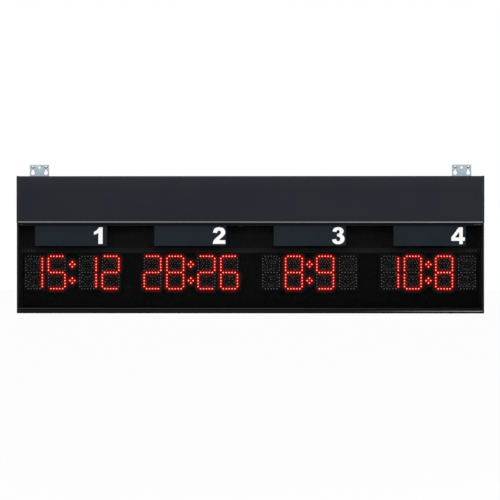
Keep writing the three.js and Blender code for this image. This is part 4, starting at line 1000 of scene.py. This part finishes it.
@dataclass(frozen=True)
class Digit:
    """Where the LEDs of one digit and of its colon stand, about their middles."""

    pitch: float = 12.7 * MM
    column: float = 35.7375 * MM
    row: float = 70.0 * MM
    segment_leds: int = 5
    diagonal: Profile = ((11.5 * MM, 17 * MM), (24.5 * MM, 53 * MM))
    diagonal_leds: int = 4
    inner_pitch: Flat = (11.0 * MM, 9.6 * MM)
    inner_reach: Flat = (28 * MM, 27 * MM)
    inner_gap: float = 6.3 * MM
    lit_gap: float = 9.0 * MM
    colon_row: float = 35 * MM
    colon_leds: Profile = ((0.0, 10.3 * MM), (0.0, -10.3 * MM), (9.9 * MM, 0.0), (-9.9 * MM, 0.0))

    def places(self, segment: Segment) -> list[Flat]:
        """The LED places of a segment.

        Args:
            segment: The segment.

        Returns:
            The places.
        """
        half = self.pitch * (self.segment_leds - 1) / 2
        x, z = segment.value[0] * self.column, segment.value[1] * self.row
        wide, high = (half, 0.0) if segment in LEVEL else (0.0, half)
        return run((x - wide, z - high), (x + wide, z + high), self.segment_leds)

    def leds(self, figure: str, lit: bool) -> list[Flat]:
        """The LED places of the segments that a figure lights, or of those that it leaves dark."""
        chosen = [segment for segment in Segment if (segment in LIT[figure]) == lit]
        return [place for segment in chosen for place in self.places(segment)]

    def star(self) -> list[Flat]:
        """The LED places of the inner star, which stays dark.

        Returns:
            The places.
        """
        places: list[Flat] = []
        reach = self.pitch * (self.segment_leds - 2) / 2
        for half in (-1, 1):
            z = half * self.row / 2
            places += run((0.0, z - reach), (0.0, z + reach), self.segment_leds - 1)
            for side in (-1, 1):
                start, end = ((side * u, half * v) for u, v in self.diagonal)
                places += run(start, end, self.diagonal_leds)
        return places

    def inner(self, lit: list[Flat]) -> list[Flat]:
        """The places of the star's lenses, and of staggered rows on the board around it.

        Args:
            lit: Places of the digit's lit lenses, from which the rows keep further away.

        Returns:
            The places.
        """
        places = self.star()
        taken = places + self.leds("8", True)
        across, up = self.inner_pitch
        reach, rise = self.inner_reach
        rows = int(2 * rise / up)
        for half in (-1, 1):
            for row in range(rows + 1):
                z = half * self.row / 2 + (row - rows / 2) * up
                columns = int(2 * reach / across) - row % 2
                for column in range(columns + 1):
                    place = ((column - columns / 2) * across, z)
                    if clear(place, taken, self.inner_gap) and clear(place, lit, self.lit_gap):
                        places.append(place)
        return places

    def hearts(self) -> list[Flat]:
        """The middles of the colon's diamonds."""
        return [(0.0, half * self.colon_row) for half in (-1, 1)]

    def colon(self) -> list[Flat]:
        """The LED places of both diamonds of a colon."""
        return [place for heart in self.hearts() for place in shifted(self.colon_leds, heart)]


@dataclass
class Display:
    """The LED modules behind the window: lenses, halos, colons, carrier and baffle.

    Lenses stand on the digits' strips, or lower down on the board, where those inside a figure that is not
    plain carry painted red light from the lit lenses. The halos are painted glow: the colon's fill is the
    share of a lens's glow in the heart of its diamonds, and over the fade's length a glow falls to a third.
    """

    digit: Digit = Digit()
    lens_radius: float = 2.5 * MM
    lens_height: float = 1.9 * MM
    lens_sides: int = 8
    strip_height: float = 2.7 * MM
    inner_radius: float = 2.3 * MM
    plain_figures: str = " 1"
    colon_fill: float = 0.42
    halo_step: float = 2.0 * MM
    halo_reach: float = 20 * MM
    halo_fade: float = 2.85 * MM
    halo_gap: float = 0.1 * MM
    foam_gap: float = 0.1 * MM
    foam_lap: float = 0.25 * MM
    foam_depth: float = 4 * MM
    foam_lining: float = 0.6 * MM
    rib_half: float = 1 * MM
    rib_soft: float = 0.2 * MM
    flange: float = 2 * MM
    lights: Flat = (934.0 * MM, -25.4 * MM)
    light_count: int = 4

    def build(self) -> None:
        """Dresses the modules and builds lenses and halos, set by set."""
        dress(CARRIER, "led_carrier")
        self.end_foams()
        self.baffle()
        for number, score in enumerate(SCORES, 1):
            self.module(f"set_{number}", score)
        self.indicators()

    def end_foams(self) -> None:
        """Builds the foam that closes the carrier's end slots and lines the caps beside them; its pale grey
        is painted light against the shade there.
        """
        low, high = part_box("led_carrier")
        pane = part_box("window")[1].y
        for name, side in SIDES:
            wall = inner_face(side) - side * self.foam_gap
            end = low.x if side < 0 else high.x
            foam = Shape()
            for inner, front, back in (
                (end - side * self.foam_lap, low.y - self.foam_lap, low.y + self.foam_depth),
                (wall - side * self.foam_lining, pane + self.foam_lap, low.y),
            ):
                x0, x1 = sorted((wall, inner))
                foam.block((x0, front, low.z), (x1, back, high.z), self.foam_gap)
            foam.piece("carrier_foam_" + name, FOAM)

    def baffle(self) -> None:
        """Dresses the light baffle, whose rib carries a painted highlight."""
        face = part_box("light_baffle")[0].y
        # The paler rib is a painted highlight along its lit front edge.
        rib = Zone(1, face - self.rib_half, face + self.rib_half, self.rib_soft, (0.135, 0.135, 0.138))
        strip = Brushed(
            "baffle_strip", (0.078, 0.078, 0.082), (0.090, 0.090, 0.094), blotch=12, grain=900,
            stretch=(0.03, 1, 1), depth=0.1, rough=0.7, specular=0.1, zones=(rib,),
        )
        dress(strip, "light_baffle")

    def module(self, label: str, score: str) -> None:
        """Dresses one set's modules and builds their lenses and halo.

        Args:
            label: The set's name.
            score: Its four figures.
        """
        digits = [f"{label}_digit_{k}" for k in range(1, 5)]
        dress(MASK, *digits, label + "_colon")
        lit: list[Flat] = []
        dark: list[Flat] = []
        inner: dict[Coat, list[Flat]] = {INNER_LENS: [], PAINTED_RED_LIGHT_LENS: []}
        for node, figure in zip(digits, score):
            on = self.digit.leds(figure, True)
            lit += shifted(on, middle(node))
            dark += shifted(self.digit.leds(figure, False), middle(node))
            coat = INNER_LENS if figure in self.plain_figures else PAINTED_RED_LIGHT_LENS
            inner[coat] += shifted(self.digit.inner(on), middle(node))
        centre = middle(label + "_colon")
        lit += shifted(self.digit.colon(), centre)
        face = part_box(digits[0])[0].y
        self.lenses(label + "_lit_lenses", lit, face, LIT_LENS)
        self.lenses(label + "_dark_lenses", dark, face, CLEAR_LENS)
        for coat, places in inner.items():
            if places:
                self.lenses(f"{label}_{coat.name}es", places, face, coat, on_board=True)
        self.halo(label + "_halo", lit, shifted(self.digit.hearts(), centre), face - self.halo_gap)

    def lenses(
        self, name: str, places: Iterable[Flat], face: float, coat: Coat, on_board: bool = False
    ) -> None:
        """Builds domed lenses.

        Args:
            name: Name of the piece.
            places: Centres of the lenses.
            face: Y of the strips' face.
            coat: Their finish.
            on_board: Whether they stand on the board behind the strips.
        """
        wide, sunk = (self.inner_radius, self.strip_height) if on_board else (self.lens_radius, 0.0)
        rings = ((1.0, LENS_FOOT - sunk / self.lens_height), *LENS_RINGS)
        sides = self.lens_sides
        points: list[Point] = []
        faces: list[tuple[int, ...]] = []
        for place in places:
            base = len(points)
            for share, rise in rings:
                ring = arc(place, wide * share, 0, 360, sides)[:-1]
                points += [(x, face - self.lens_height * rise, z) for x, z in ring]
            top = len(points) - sides
            for low in range(base, top, sides):
                for i, j in zip(range(sides), (*range(1, sides), 0)):
                    faces.append((low + i, low + j, low + sides + j, low + sides + i))
            faces += [tuple(range(top, top + sides)), tuple(range(base + sides - 1, base - 1, -1))]
        data = bpy.data.meshes.new(name)
        data.from_pydata(points, [], faces)
        added(name, data, coat)

    def halo(self, name: str, lit: Sequence[Flat], hearts: Sequence[Flat], face: float) -> None:
        """Builds the mask film around lit lenses, with the glow values of its painted red light.

        Args:
            name: Name of the piece.
            lit: Centres of the lit lenses.
            hearts: Centres of the colon's diamonds, which the lenses around them fill with light.
            face: Y of the film.
        """
        lenses = np.array([*lit, *hearts])
        weights = [1.0] * len(lit) + [self.colon_fill] * len(hearts)
        reach = self.halo_reach
        low, high = lenses.min(0) - reach, lenses.max(0) + reach
        xs, zs = (np.arange(low[i], high[i], self.halo_step) for i in range(2))
        glow = np.zeros((len(xs), len(zs)))
        edge = math.exp(-reach / self.halo_fade)
        for (x, z), weight in zip(lenses, weights):
            i0, i1 = np.searchsorted(xs, (x - reach, x + reach))
            j0, j1 = np.searchsorted(zs, (z - reach, z + reach))
            distance = np.hypot(xs[i0:i1, None] - x, zs[None, j0:j1] - z)
            glow[i0:i1, j0:j1] += weight * np.maximum(np.exp(-distance / self.halo_fade) - edge, 0.0)
        shown = glow > 0
        cells = shown[:-1, :-1] | shown[1:, :-1] | shown[:-1, 1:] | shown[1:, 1:]
        keep = np.zeros_like(shown)
        for i in (0, 1):
            for j in (0, 1):
                keep[i : len(xs) - 1 + i, j : len(zs) - 1 + j] |= cells
        index = -np.ones(glow.shape, int)
        index[keep] = np.arange(keep.sum())
        points = [(float(xs[i]), face, float(zs[j])) for i, j in zip(*np.nonzero(keep))]
        faces = [
            [int(index[corner]) for corner in ((i, j), (i + 1, j), (i + 1, j + 1), (i, j + 1))]
            for i, j in zip(*np.nonzero(cells))
        ]
        data = bpy.data.meshes.new(name)
        data.from_pydata(points, [], faces)
        values = np.minimum(glow[keep], 1.0).tolist()
        data.attributes.new("glow", "FLOAT", "POINT").data.foreach_set("value", values)
        added(name, data, HALO)

    def indicators(self) -> None:
        """Builds the small dark indicator lenses over the outer digits, on the baffle's flange."""
        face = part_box("light_baffle")[1].y - self.flange
        reaches = [self.lights[0] + self.digit.pitch * i for i in range(self.light_count)]
        places = [(side * reach, self.lights[1]) for side in (-1, 1) for reach in reaches]
        self.lenses("indicator_lenses", places, face, INNER_LENS)


def curve(*places: Flat, steps: int = 5) -> list[Flat]:
    """Points of a smooth curve.

    Args:
        places: Where it passes.
        steps: Points between two places.

    Returns:
        The points, both ends included.
    """
    ends = (places[0], *places, places[-1])
    points = [places[0]]
    for four in zip(ends, ends[1:], ends[2:], ends[3:]):
        points += [tuple(between(*values, i / steps) for values in zip(*four)) for i in range(1, steps + 1)]
    return points


def between(a: float, b: float, c: float, d: float, t: float) -> float:
    """The value at share t from b to c on a smooth curve through all four."""
    return b + t / 2 * (c - a + t * (2 * a - 5 * b + 4 * c - d + t * (3 * (b - c) + d - a)))


# Numerals, in millimetres from the left end of their foot: each has its outline, then its holes.
ONE = [[
    (19.0, 0), (37.4, 0), (37.4, 71.6),
    *curve((21.4, 71.6), (18.4, 65.6), (15.1, 61.5), (9.6, 57.3), (0, 51.7))[1:],
    *curve((0, 39.2), (7.4, 41.6), (19.0, 47.0)),
]]
TWO = [[
    (54.0, 0), (54.0, 15.9),
    *curve(
        (27.0, 15.9), (33.9, 23.2), (44.0, 31.7), (50.9, 40.3), (53.4, 50.5), (50.3, 61.8), (41.5, 68.9),
        (27.5, 71.4), (13.5, 68.9), (5.2, 61.8), (1.6, 48.0),
    ),
    *curve(
        (19.3, 47.4), (20.4, 53.6), (27.6, 57.0), (34.3, 53.8), (34.6, 45.0), (26.2, 36.0), (15.9, 27.4),
        (7.7, 18.9), (2.6, 10.3), (0, 0),
    ),
]]
THREE = [[
    *curve(
        (2.1, 53.2), (4.3, 61.8), (12.0, 68.8), (24.6, 71.5), (38.0, 69.4), (47.0, 61.9), (48.9, 51.5),
        (42.2, 40.1),
    ),
    *curve(
        (42.2, 40.1), (50.5, 31.5), (52.9, 21.0), (49.4, 9.8), (39.5, 1.2), (25.5, -1.2), (12.0, 1.4),
        (2.8, 10.0), (0, 18.6),
    )[1:],
    *curve(
        (17.2, 20.8), (19.3, 14.2), (25.4, 11.1), (32.2, 14.0), (34.6, 21.2), (31.0, 30.2), (21.2, 32.0)
    ),
    *curve((21.2, 42.7), (30.2, 45.4), (32.6, 52.0), (29.4, 58.0), (22.5, 58.8), (17.6, 51.2)),
]]
FOUR = [
    [
        (33.9, -1.0), (48.6, -1.0), (48.6, 13.2), (57.5, 13.2), (57.5, 27.7), (48.6, 27.7), (48.6, 70.9),
        (31.7, 70.9), (0, 28.4), (0, 13.2), (33.9, 13.2),
    ],
    [(15.7, 27.7), (33.7, 27.7), (33.7, 52.1)],
]


@dataclass
class NumberPlates:
    """The plates over the sets, each with its bold numeral.

    The base is the height of the numerals' feet, and the left values lead from the middle of each plate to
    the left edge of its numeral.
    """

    base: float = 3.3 * MM
    vinyl: float = 0.25 * MM
    sink: float = 0.05 * MM
    left: tuple[float, ...] = (98.9 * MM, 96.1 * MM, 95.3 * MM, 92.6 * MM)

    def build(self) -> None:
        """Dresses the plates and lays their numerals."""
        for number, (outlines, left) in enumerate(zip((ONE, TWO, THREE, FOUR), self.left), 1):
            node = f"set_{number}_number_plate"
            dress(PLATE_VINYL, node)
            foot, face = (middle(node)[0] + left, self.base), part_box(node)[0].y
            moved = [shifted([(u * MM, v * MM) for u, v in outline], foot) for outline in outlines]
            numeral = Shape().prism(moved, face + self.sink, face - self.vinyl)
            numeral.piece(f"set_{number}_numeral", NUMERAL_VINYL)


@dataclass
class Hangers:
    """The sliding hanger plates, with crescents of painted shade under their small holes, and their clamps.
    """

    hole_reach: float = 28.5 * MM
    hole_drop: float = 8 * MM
    hole_radius: float = 3.8 * MM
    hole_turn: Flat = (-10, -170)
    mark_drop: float = 0.8 * MM
    mark_radius: float = 7.4 * MM
    mark_turn: Flat = (-175, -5)
    mark_rise: float = 0.05 * MM
    steps: int = 12

    def build(self) -> None:
        """Dresses plates and clamps and builds the crescents of painted shade."""
        dress(GALVANISED, "hanger_left", "hanger_right")
        dress(ZINC, "hanger_clamp_left", "hanger_clamp_right")
        for name, body in (("left", Body.LEFT_HANGER), ("right", Body.RIGHT_HANGER)):
            plate = "hanger_" + name
            low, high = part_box(plate)
            marks = Shape()
            for side in (-1, 1):
                x, z = middle(plate)[0] + side * self.hole_reach, high.z - self.hole_drop
                outer = arc((x, z - self.mark_drop), self.mark_radius, *self.mark_turn, self.steps)
                inner = arc((x, z), self.hole_radius, *self.hole_turn, self.steps)
                marks.prism([outer + inner], low.y + self.mark_rise, low.y - self.mark_rise)
            marks.piece(plate + "_hole_shades", HOLE_SHADE, body)


@dataclass
class PowerSupply:
    """The power supply, with its vent holes drawn as discs of painted shade, and its terminal block."""

    vent: Profile = ((2.3 * MM, 0.0), (2.07 * MM, 0.12 * MM))
    vent_sides: int = 8
    vent_sink: float = 0.05 * MM
    vent_pitch: float = 11 * MM
    vent_start: Flat = (42 * MM, 17 * MM)
    vent_margin: Flat = (60 * MM, 24 * MM)
    ledge: float = 26 * MM
    block_reach: Flat = (1.5 * MM, 22 * MM)
    block_end: float = 8 * MM
    block_depth: Flat = (7 * MM, 0.1 * MM)
    block_edge: float = 0.5 * MM
    barrier_half: float = 0.8 * MM
    barrier_depth: Flat = (14 * MM, 6 * MM)
    barrier_edge: float = 0.3 * MM
    ways: int = 7
    screw_head: Flat = (4 * MM, 2.4 * MM)

    def build(self) -> None:
        """Dresses the supply and builds its small pieces."""
        dress(SUPPLY_SHEET, "power_supply")
        self.vents()
        self.terminals()

    def vents(self) -> None:
        """Builds the rows of vent holes on the cover, drawn as dark discs of painted shade."""
        low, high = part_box("power_supply")
        columns = int((high.x - low.x - self.vent_margin[0]) / self.vent_pitch)
        rows = int((high.z - low.z - self.vent_margin[1]) / self.vent_pitch)
        holes = Shape()
        for i in range(columns):
            for j in range(rows):
                x = low.x + self.vent_start[0] + self.vent_pitch * i
                z = low.z + self.vent_start[1] + self.vent_pitch * j
                holes.turned((x, low.y + self.vent_sink, z), FORWARD, self.vent, self.vent_sides)
        holes.piece("supply_vent_shades", RECESS_SHADE_AND_BLACK)

    def terminals(self) -> None:
        """Builds the terminal block on the ledge, with its barriers and screws."""
        low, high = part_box("power_supply")
        face = high.y - self.ledge
        x0, x1 = (low.x + reach for reach in self.block_reach)
        x, wide = (x0 + x1) / 2, (x1 - x0) / 2
        foot, half = low.z + self.block_end, (high.z - low.z) / 2 - self.block_end
        way = 2 * half / self.ways
        block = Pad((wide, half), self.block_depth, self.block_edge).on(Shape(), x, foot + half, face)
        barrier = Pad((wide, self.barrier_half), self.barrier_depth, self.barrier_edge)
        for i in range(self.ways + 1):
            barrier.on(block, x, foot + way * i, face)
        block.piece("supply_terminals", BLACK_MOULDING)
        seats = [(x, face - self.block_depth[0], foot + way * (i + 0.5)) for i in range(self.ways)]
        Fasteners("terminal_screws", FORWARD, *self.screw_head).build(seats)


@dataclass
class ControlBoard:
    """The control board, with its chip, capacitors, header, small parts, pads and screws.

    Places are measured from the board's middle. Those of the capacitors are measured from its left side, and
    the heights of the header and the connector from its foot.
    """

    parts_depth: float = 11.6 * MM
    chip: Pad = Pad((17.3 * MM, 13.3 * MM), (4.3 * MM, 0.3 * MM), 0.4 * MM)
    mark: Profile = ((1.2 * MM, 0.0), (1.0 * MM, 0.1 * MM))
    mark_place: Flat = (-13 * MM, 9 * MM)
    leg: Pad = Pad((0.4 * MM, 1.1 * MM), (1.2 * MM, 0.02 * MM))
    leg_pitch: float = 1.8 * MM
    leg_count: int = 18
    can: Profile = ((7.3 * MM, 0.0), (7.3 * MM, 15.4 * MM), (6.789 * MM, 16.0 * MM))
    can_gap: float = 0.3 * MM
    can_places: Flat = (30 * MM, 52 * MM)
    can_sides: int = 24
    crown: Profile = ((6.205 * MM, 0.0), (5.986 * MM, 0.35 * MM))
    crown_height: float = 16.2 * MM
    header: Pad = Pad((15.4 * MM, 4.6 * MM), (9.2 * MM, 0.2 * MM), 0.4 * MM)
    header_height: float = 4.7 * MM
    small: Pad = Pad((1.1 * MM, 0.7 * MM), (0.9 * MM, 0.02 * MM), 0.1 * MM)
    small_from: float = 26 * MM
    small_pitch: float = 5.2 * MM
    small_count: int = 13
    small_rows: Flat = (24 * MM, -6 * MM)
    connector: Pad = Pad((20 * MM, 5 * MM), (12 * MM, 0.1 * MM), 0.5 * MM)
    connector_place: Flat = (60 * MM, 9 * MM)
    relay: Pad = Pad((8 * MM, 8 * MM), (4 * MM, 0.1 * MM), 0.3 * MM)
    relay_place: Flat = (38 * MM, -4 * MM)
    hole_inset: float = 8 * MM
    pad: Profile = ((4.2 * MM, 0.0), (4.1 * MM, 0.06 * MM))
    pad_gap: float = 0.01 * MM
    screw_gap: float = 0.07 * MM
    screw_head: Flat = (3 * MM, 1.8 * MM)

    def build(self) -> None:
        """Dresses the board and builds what stands on it."""
        dress(SOLDER_MASK, "control_board")
        self.processor()
        self.capacitors()
        self.small_parts()
        self.holes()

    def face(self) -> float:
        """Y of the board's face."""
        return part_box("control_board")[1].y - self.parts_depth

    def processor(self) -> None:
        """Builds the chip, the mark of its first leg and its legs."""
        (x, z), face = middle("control_board"), self.face()
        chip = self.chip.on(Shape(), x, z, face)
        mark = (x + self.mark_place[0], face - self.chip.depth[0], z + self.mark_place[1])
        chip.turned(mark, FORWARD, self.mark).piece("control_chip", BLACK_MOULDING)
        legs = Shape()
        for i in range(self.leg_count):
            along = x + (i - (self.leg_count - 1) / 2) * self.leg_pitch
            for side in (-1, 1):
                self.leg.on(legs, along, z + side * (self.chip.half[1] + self.leg.half[1]), face)
        legs.piece("control_chip_legs", SCREW_ZINC)

    def capacitors(self) -> None:
        """Builds the capacitors and their bare tops."""
        left, z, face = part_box("control_board")[0].x, middle("control_board")[1], self.face()
        cans, crowns = Shape(), Shape()
        for inset in self.can_places:
            cans.turned((left + inset, face - self.can_gap, z), FORWARD, self.can, self.can_sides)
            crowns.turned((left + inset, face - self.crown_height, z), FORWARD, self.crown, self.can_sides)
        cans.piece("control_capacitors", BLACK_MOULDING)
        crowns.piece("control_capacitor_tops", SUPPLY_SHEET)

    def small_parts(self) -> None:
        """Builds the header, the rows of small parts, the connector and the relay."""
        (x, z), foot, face = middle("control_board"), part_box("control_board")[0].z, self.face()
        header = self.header.on(Shape(), x, foot + self.header_height, face)
        header.piece("control_header", RECESS_SHADE_AND_BLACK)
        parts = Shape()
        for row in self.small_rows:
            for i in range(self.small_count):
                self.small.on(parts, x + self.small_from + i * self.small_pitch, z + row, face)
        self.connector.on(parts, x + self.connector_place[0], foot + self.connector_place[1], face)
        self.relay.on(parts, x + self.relay_place[0], z + self.relay_place[1], face)
        parts.piece("control_parts", BLACK_MOULDING)

    def holes(self) -> None:
        """Builds the gold pads and the screws in the board's corners."""
        places, face = corners("control_board", self.hole_inset), self.face()
        pads = Shape()
        for x, z in places:
            pads.turned((x, face - self.pad_gap, z), FORWARD, self.pad)
        pads.piece("control_pads", GOLD_PAD)
        seats = [(x, face - self.screw_gap, z) for x, z in places]
        Fasteners("control_screws", FORWARD, *self.screw_head).build(seats)


@dataclass
class Radio:
    """The radio receiver, with its lid's screws and its cable gland."""

    screw_inset: float = 5 * MM
    screw_head: Flat = (2 * MM, 1.1 * MM)
    gland: Profile = ((6 * MM, 0.0), (6 * MM, 5 * MM), (4 * MM, 8 * MM), (3.4 * MM, 10 * MM))
    gland_sides: int = 6

    def build(self) -> None:
        """Dresses the radio and its antenna and builds the small pieces."""
        dress(BLACK_MOULDING, "radio_receiver", "antenna")
        low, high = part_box("radio_receiver")
        seats = [(x, low.y, z) for x, z in corners("radio_receiver", self.screw_inset)]
        Fasteners("radio_screws", FORWARD, *self.screw_head).build(seats)
        foot = (middle("radio_receiver")[0], (low.y + high.y) / 2, low.z)
        Shape().turned(foot, DOWN, self.gland, self.gland_sides).piece("radio_gland", BLACK_MOULDING)


@dataclass
class Wiring:
    """The leads inside the cabinet and the mains inlet on its underside."""

    def build(self) -> None:
        """Dresses the nodes."""
        dress(JACKET, "mains_lead", "supply_harness")
        dress(RIBBON, "data_ribbon")
        dress(BLACK_MOULDING, "inlet_housing", "fuse_drawer", "rocker_switch")
        dress(BRASS, "inlet_pin_live", "inlet_pin_neutral", "inlet_pin_earth")


@dataclass
class Window:
    """The smoked pane."""

    def build(self) -> None:
        """Dresses the pane."""
        dress(PANE, "window")


@dataclass(frozen=True)
class Softbox:
    """A square soft lamp, with its power in watts."""

    name: str
    place: Point
    target: Point
    size: float
    power: float

    def build(self) -> None:
        """Hangs the lamp and points it at its target."""
        light = bpy.data.lights.new(self.name, "AREA")
        light.size = self.size
        light.energy = self.power
        made = placed(self.name, light)
        made.location = self.place
        turn = (Vector(self.target) - Vector(self.place)).to_track_quat("-Z", "Y")
        made.rotation_euler = turn.to_euler()


@dataclass
class Studio:
    """Camera, lamps, world and floor.

    The camera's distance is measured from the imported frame's middle, and the frame width is that of the
    picture in the plane of the board's front. The sensor is in millimetres, as the camera wants it.
    """

    distance: float = 4.88
    yaw: float = math.radians(0.5)
    aim: Flat = (-0.94 * MM, -22.85 * MM)
    frame_width: float = 2.1371
    front: float = 92 * MM
    sensor: float = 36.0
    floor_height: float = -1.25
    floor_reach: float = 30.0
    floor_colours: tuple[Colour, Colour] = ((0.90, 0.90, 0.90), (0.88, 0.88, 0.88))
    floor_grain: float = 30.0
    floor_detail: float = 3.0
    floor_edges: Flat = (0.4, 0.6)
    floor_tint: float = 0.1
    floor_rough: float = 0.9
    floor_white: float = 0.965
    ambient: float = 0.37
    lamps: tuple[Softbox, ...] = (
        Softbox("front_softbox", (-1.1, -4.6, 3.1), (0, 0, 0), 3.0, 108),
        Softbox("side_softbox", (3.4, -3.0, 2.4), (0.4, 0, 0), 2.0, 50),
        Softbox("top_softbox", (0.3, -1.2, 3.2), (0, -0.1, 0.2), 2.6, 60),
    )

    def build(self) -> None:
        """Builds the studio."""
        self.world()
        self.camera()
        self.floor()
        for lamp in self.lamps:
            lamp.build()

    def world(self) -> None:
        """Fills the world: white to the camera, soft grey light to the rest."""
        made = bpy.data.worlds.new("studio")
        made.use_nodes = True
        bpy.context.scene.world = made
        graph = Graph(made.node_tree, "ShaderNodeOutputWorld")
        strength = self.seen(graph) * (1.0 - self.ambient) + self.ambient
        feeds = {"Color": (1.0, 1.0, 1.0, 1.0), "Strength": strength}
        graph.finish(graph.node("ShaderNodeBackground", feeds=feeds))

    def seen(self, graph: Graph) -> Signal:
        """1 for what the camera, a gloss or a glass shows, 0 for light that falls on the object."""
        rays = ("Is Camera Ray", "Is Glossy Ray", "Is Transmission Ray")
        return sum(graph.node("ShaderNodeLightPath", out=ray) for ray in rays).step(0.0, 1.0)

    def camera(self) -> None:
        """Places the camera in front of the board."""
        lens = bpy.data.cameras.new("camera")
        lens.sensor_width = self.sensor
        lens.lens = self.sensor * (self.distance - self.front) / self.frame_width
        made = placed("camera", lens)
        across = self.aim[0] + self.distance * math.sin(self.yaw)
        made.location = (across, -self.distance * math.cos(self.yaw), self.aim[1])
        made.rotation_euler = (math.radians(90), 0, self.yaw)
        bpy.context.scene.camera = made

    def floor(self) -> None:
        """Builds the pale floor, white to the camera but for the object's shadow."""
        data = bpy.data.meshes.new("floor")
        reach, z = self.floor_reach, self.floor_height
        ends = [(-reach, -reach, z), (reach, -reach, z), (reach, reach, z), (-reach, reach, z)]
        data.from_pydata(ends, [], [(0, 1, 2, 3)])
        coat = bpy.data.materials.new("pale_floor")
        coat.use_nodes = True
        graph = Graph(coat.node_tree, "ShaderNodeOutputMaterial")
        grain = graph.noise(graph.place(), self.floor_grain, self.floor_detail).step(*self.floor_edges)
        feeds = {
            "Base Color": graph.mix(grain * self.floor_tint, *self.floor_colours),
            "Roughness": self.floor_rough,
        }
        matt = graph.node("ShaderNodeBsdfPrincipled", feeds=feeds)
        white = graph.node("ShaderNodeEmission", feeds={"Color": (1, 1, 1, 1), "Strength": 1.0})
        share = self.seen(graph) * self.floor_white
        graph.finish(graph.node("ShaderNodeMixShader", feeds={0: share, 1: matt, 2: white}))
        data.materials.append(coat)
        placed("floor", data)


def main() -> None:
    """Builds the dressed scoreboard and its studio."""
    logging.basicConfig(level=logging.INFO, format="%(message)s")
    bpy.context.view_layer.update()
    bpy.context.scene.view_settings.view_transform = "Standard"
    for part in (
        Studio(), Cabinet(), Cover(), Rails(), Window(), NumberPlates(), Display(), Hangers(),
        PowerSupply(), ControlBoard(), Radio(), Wiring(),
    ):
        part.build()
        LOG.info("built %s", type(part).__name__)


if __name__ == "__main__":
    main()
